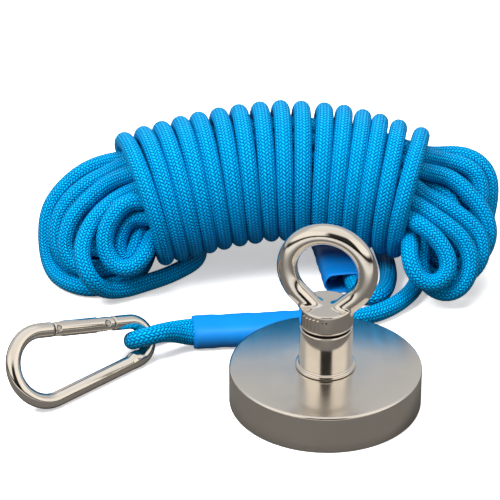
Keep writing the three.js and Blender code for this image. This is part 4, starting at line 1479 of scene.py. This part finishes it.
# ---------- Snap hook ----------
TONGUE_HALF_WIDTH = 0.0013
TONGUE_HALF_HEIGHT = 0.0023
PIN_PAST_NOSE = 0.0024
PIN_RADIUS = 0.00125
RIVET_HOLE_RADIUS = 0.00145
GATE_BORE_RADIUS = 0.0023
COIL_START = -0.0201


def hook_frame():
    """The hook's own axes: X along the gate to its rivet, Z out of the gate side, Y through."""
    through = -Vector(JOINTS["gate_open"]["axis"]).normalized()
    pin, rivet = (sum(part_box(name), Vector()) for name in ("latch_pin", "gate_rivet"))
    along = (rivet - pin).normalized()
    out = along.cross(through).normalized()
    turn = Matrix((along, through, out)).transposed().to_4x4()
    return Matrix.Translation(JOINTS["gate_open"]["pos_m"]) @ turn


def arc_distance(x, y, z, centre, radius, middle_angle, half_angle):
    """Distance to a part of a circle in the XZ plane."""
    angle = np.arctan2(z - centre[1], x - centre[0]) - middle_angle
    angle = (angle + math.pi) % (2 * math.pi) - math.pi
    ring = np.hypot(np.hypot(x - centre[0], z - centre[1]) - radius, y)
    return np.where(np.abs(angle) <= half_angle, ring, 1.0)


class MAGNETSET_OT_hook(bpy.types.Operator):
    """Add the snap hook's bent wire body"""

    bl_idname = "magnetset.hook"
    bl_label = "Hook body"

    def execute(self, context):
        sizes = context.scene.hook_sizes
        wire = sizes.wire / 2
        taper = math.asin((sizes.wide - sizes.narrow) / sizes.centres)
        straight = sizes.centres * math.cos(taper)
        wide = (-sizes.rivet, -sizes.wide)
        narrow = (straight - sizes.rivet, -sizes.narrow)
        tangent = 2 * taper - math.pi / 2
        spine = [
            (centre[0] + radius * math.cos(tangent), 0.0, centre[1] + radius * math.sin(tangent))
            for centre, radius in ((wide, sizes.wide), (narrow, sizes.narrow))
        ]
        ends = np.array(spine)
        inward = 0.0007 * np.array((-math.cos(tangent), 0.0, -math.sin(tangent)))
        keeper = [ends[1] + share * (ends[0] - ends[1]) + inward for share in (0.02, 0.05)]
        nose = sizes.nose - sizes.rivet
        shoulder = sizes.gate_end + 0.0003
        pin = nose + PIN_PAST_NOSE
        blend = 0.0005

        def body(points):
            x, y, z = points.T
            wide_bend = arc_distance(
                x, y, z, wide, sizes.wide, math.pi + taper, math.pi / 2 + taper
            )
            narrow_bend = arc_distance(x, y, z, narrow, sizes.narrow, taper, math.pi / 2 - taper)
            bends = np.minimum(wide_bend, narrow_bend) - wire
            bends = np.minimum(bends, rod_distance(points, *spine, wire))
            bends = soft_join(bends, rod_distance(points, *keeper, wire + 0.0003), 0.0012)
            tip = rod_distance(points, (wide[0], 0, 0), (nose + 0.004, 0, 0), wire)
            tip = soft_cut(tip, nose - x, blend)
            heel = rod_distance(points, (shoulder - 0.004, 0, 0), (narrow[0], 0, 0), wire)
            heel = soft_cut(heel, x - shoulder, blend)
            metal = np.minimum(bends, np.minimum(tip, heel))
            section = (TONGUE_HALF_WIDTH, TONGUE_HALF_HEIGHT)
            tongue = box_distance(points, (nose + 0.0003, 0, 0), (0.0039, *section), 0.0003)
            tang = box_distance(points, (0.00405, 0, 0), (0.00405, *section), 0.0003)
            knuckle = drum_distance(
                np.hypot(x, z), y, TONGUE_HALF_HEIGHT, TONGUE_HALF_WIDTH, 0.0003
            )
            tang = np.minimum(tang, knuckle)
            metal = soft_join(metal, np.minimum(tongue, tang), 0.0003)
            notch_half = (0.00135, 0.004, 0.0036)
            notch = box_distance(points, (pin, 0, PIN_RADIUS - notch_half[2]), notch_half, 0.0002)
            hole = np.hypot(x, z) - RIVET_HOLE_RADIUS
            return soft_cut(metal, np.minimum(notch, hole), 0.0002)

        mesh = shell_from_distance(
            "hook_wire", body,
            (wide[0] - sizes.wide - 0.005, -0.0045, wide[1] - sizes.wide - 0.005),
            (narrow[0] + sizes.narrow + 0.005, 0.0045, 0.005), 0.0005,
        )
        mesh.transform(hook_frame())
        piece_from("hook_wire", mesh, nickel(context), "hook", ("hook_body",))
        return {"FINISHED"}


class MAGNETSET_OT_gate(bpy.types.Operator):
    """Add the hook's sprung gate and its coil spring"""

    bl_idname = "magnetset.gate"
    bl_label = "Gate"

    def execute(self, context):
        sizes = context.scene.hook_sizes
        radius = sizes.gate / 2
        low = sizes.nose + sizes.nose_gap - sizes.rivet
        high = sizes.gate_end
        blend = 0.0003

        def barrel(points):
            x, y, z = points.T
            solid = drum_distance(
                np.hypot(y, z), x - (low + high) / 2, radius, (high - low) / 2, 0.0004
            )
            round_end = np.where(x > 0, np.hypot(x, z) - sizes.gate_end, -sizes.gate_end)
            solid = soft_cut(solid, -round_end, 0.0006)
            bore = np.maximum(np.hypot(y, z) - GATE_BORE_RADIUS, low + 0.0067 - x)
            fork = box_distance(
                points, (low + 0.0016, 0, 0), (0.0036, sizes.slot / 2, 0.008), 0.0002
            )
            hinge = box_distance(
                points, (0.002, 0, 0), (0.0066, sizes.slot / 2, 0.008), 0.0002
            )
            pin = np.hypot(x - (sizes.nose + PIN_PAST_NOSE - sizes.rivet), z) - PIN_RADIUS
            rivet = np.hypot(x, z) - RIVET_HOLE_RADIUS
            tools = np.minimum(np.minimum(bore, np.minimum(fork, hinge)), np.minimum(pin, rivet))
            return soft_cut(solid, tools, blend)

        mesh = shell_from_distance(
            "gate_barrel", barrel, (low - 0.001, -0.0048, -0.0048), (high + 0.001, 0.0048, 0.0048),
            0.0003,
        )
        mesh.transform(hook_frame())
        piece_from("gate_barrel", mesh, nickel(context), "gate", ("gate",))
        coil = mesh_of_tree("gate_coil", coil_tree(), {
            "Turns": sizes.spring_turns, "Material": zinc(context),
        })
        upright = Matrix.Rotation(math.pi / 2, 4, "Y")
        coil.transform(hook_frame() @ Matrix.Translation((COIL_START, 0.0, 0.0)) @ upright)
        piece_from("gate_coil", coil, zinc(context), "gate", ("gate_spring",))
        return {"FINISHED"}


class MAGNETSET_OT_small_parts(bpy.types.Operator):
    """Give the pins, the washer, the screw and the magnet's inner parts their finishes"""

    bl_idname = "magnetset.small_parts"
    bl_label = "Small parts"

    def execute(self, context):
        colours = context.scene.set_colours
        finishes = {
            "magnet_ring": plated_metal("Magnet Plating", colours.magnet, 0.25, 0.45),
            "centre_bush": plated_metal("Brass", colours.brass, 0.25, 0.45),
            "countersunk_screw": zinc(context),
            "gate_rivet": zinc(context),
            "latch_pin": zinc(context),
            "spring_plunger": zinc(context),
            "resin_ring": soft_plastic("Resin", colours.resin, 0.25, 0.45, bump=0.0001),
            "sealing_washer": soft_plastic("Rubber", colours.rubber, 0.6, 0.8),
        }
        for name, material in finishes.items():
            mesh = bpy.data.objects[name].data
            mesh.materials.clear()
            mesh.materials.append(material)
        return {"FINISHED"}


# ---------- Panel and registration ----------
OPERATORS = (
    MAGNETSET_OT_stage, MAGNETSET_OT_rope, MAGNETSET_OT_sleeves, MAGNETSET_OT_pot,
    MAGNETSET_OT_neck, MAGNETSET_OT_eyebolt, MAGNETSET_OT_hook, MAGNETSET_OT_gate,
    MAGNETSET_OT_small_parts,
)


class MAGNETSET_PT_panel(bpy.types.Panel):
    bl_label = "Magnet Fishing Set"
    bl_idname = "MAGNETSET_PT_panel"
    bl_space_type = "VIEW_3D"
    bl_region_type = "UI"
    bl_category = "Magnet Set"

    def draw(self, context):
        for operator in OPERATORS:
            self.layout.operator(operator.bl_idname)
        for name, group in SETTINGS.items():
            box = self.layout.box()
            for setting in group.__annotations__:
                box.prop(getattr(context.scene, name), setting)


CLASSES = (*SETTINGS.values(), *OPERATORS, MAGNETSET_PT_panel)


def register():
    for each in CLASSES:
        bpy.utils.register_class(each)
    for name, group in SETTINGS.items():
        setattr(bpy.types.Scene, name, bpy.props.PointerProperty(type=group))


def unregister():
    for name in SETTINGS:
        delattr(bpy.types.Scene, name)
    for each in reversed(CLASSES):
        bpy.utils.unregister_class(each)


def main():
    register()
    for operator in OPERATORS:
        group, name = operator.bl_idname.split(".")
        getattr(getattr(bpy.ops, group), name)()


if __name__ == "__main__":
    main()
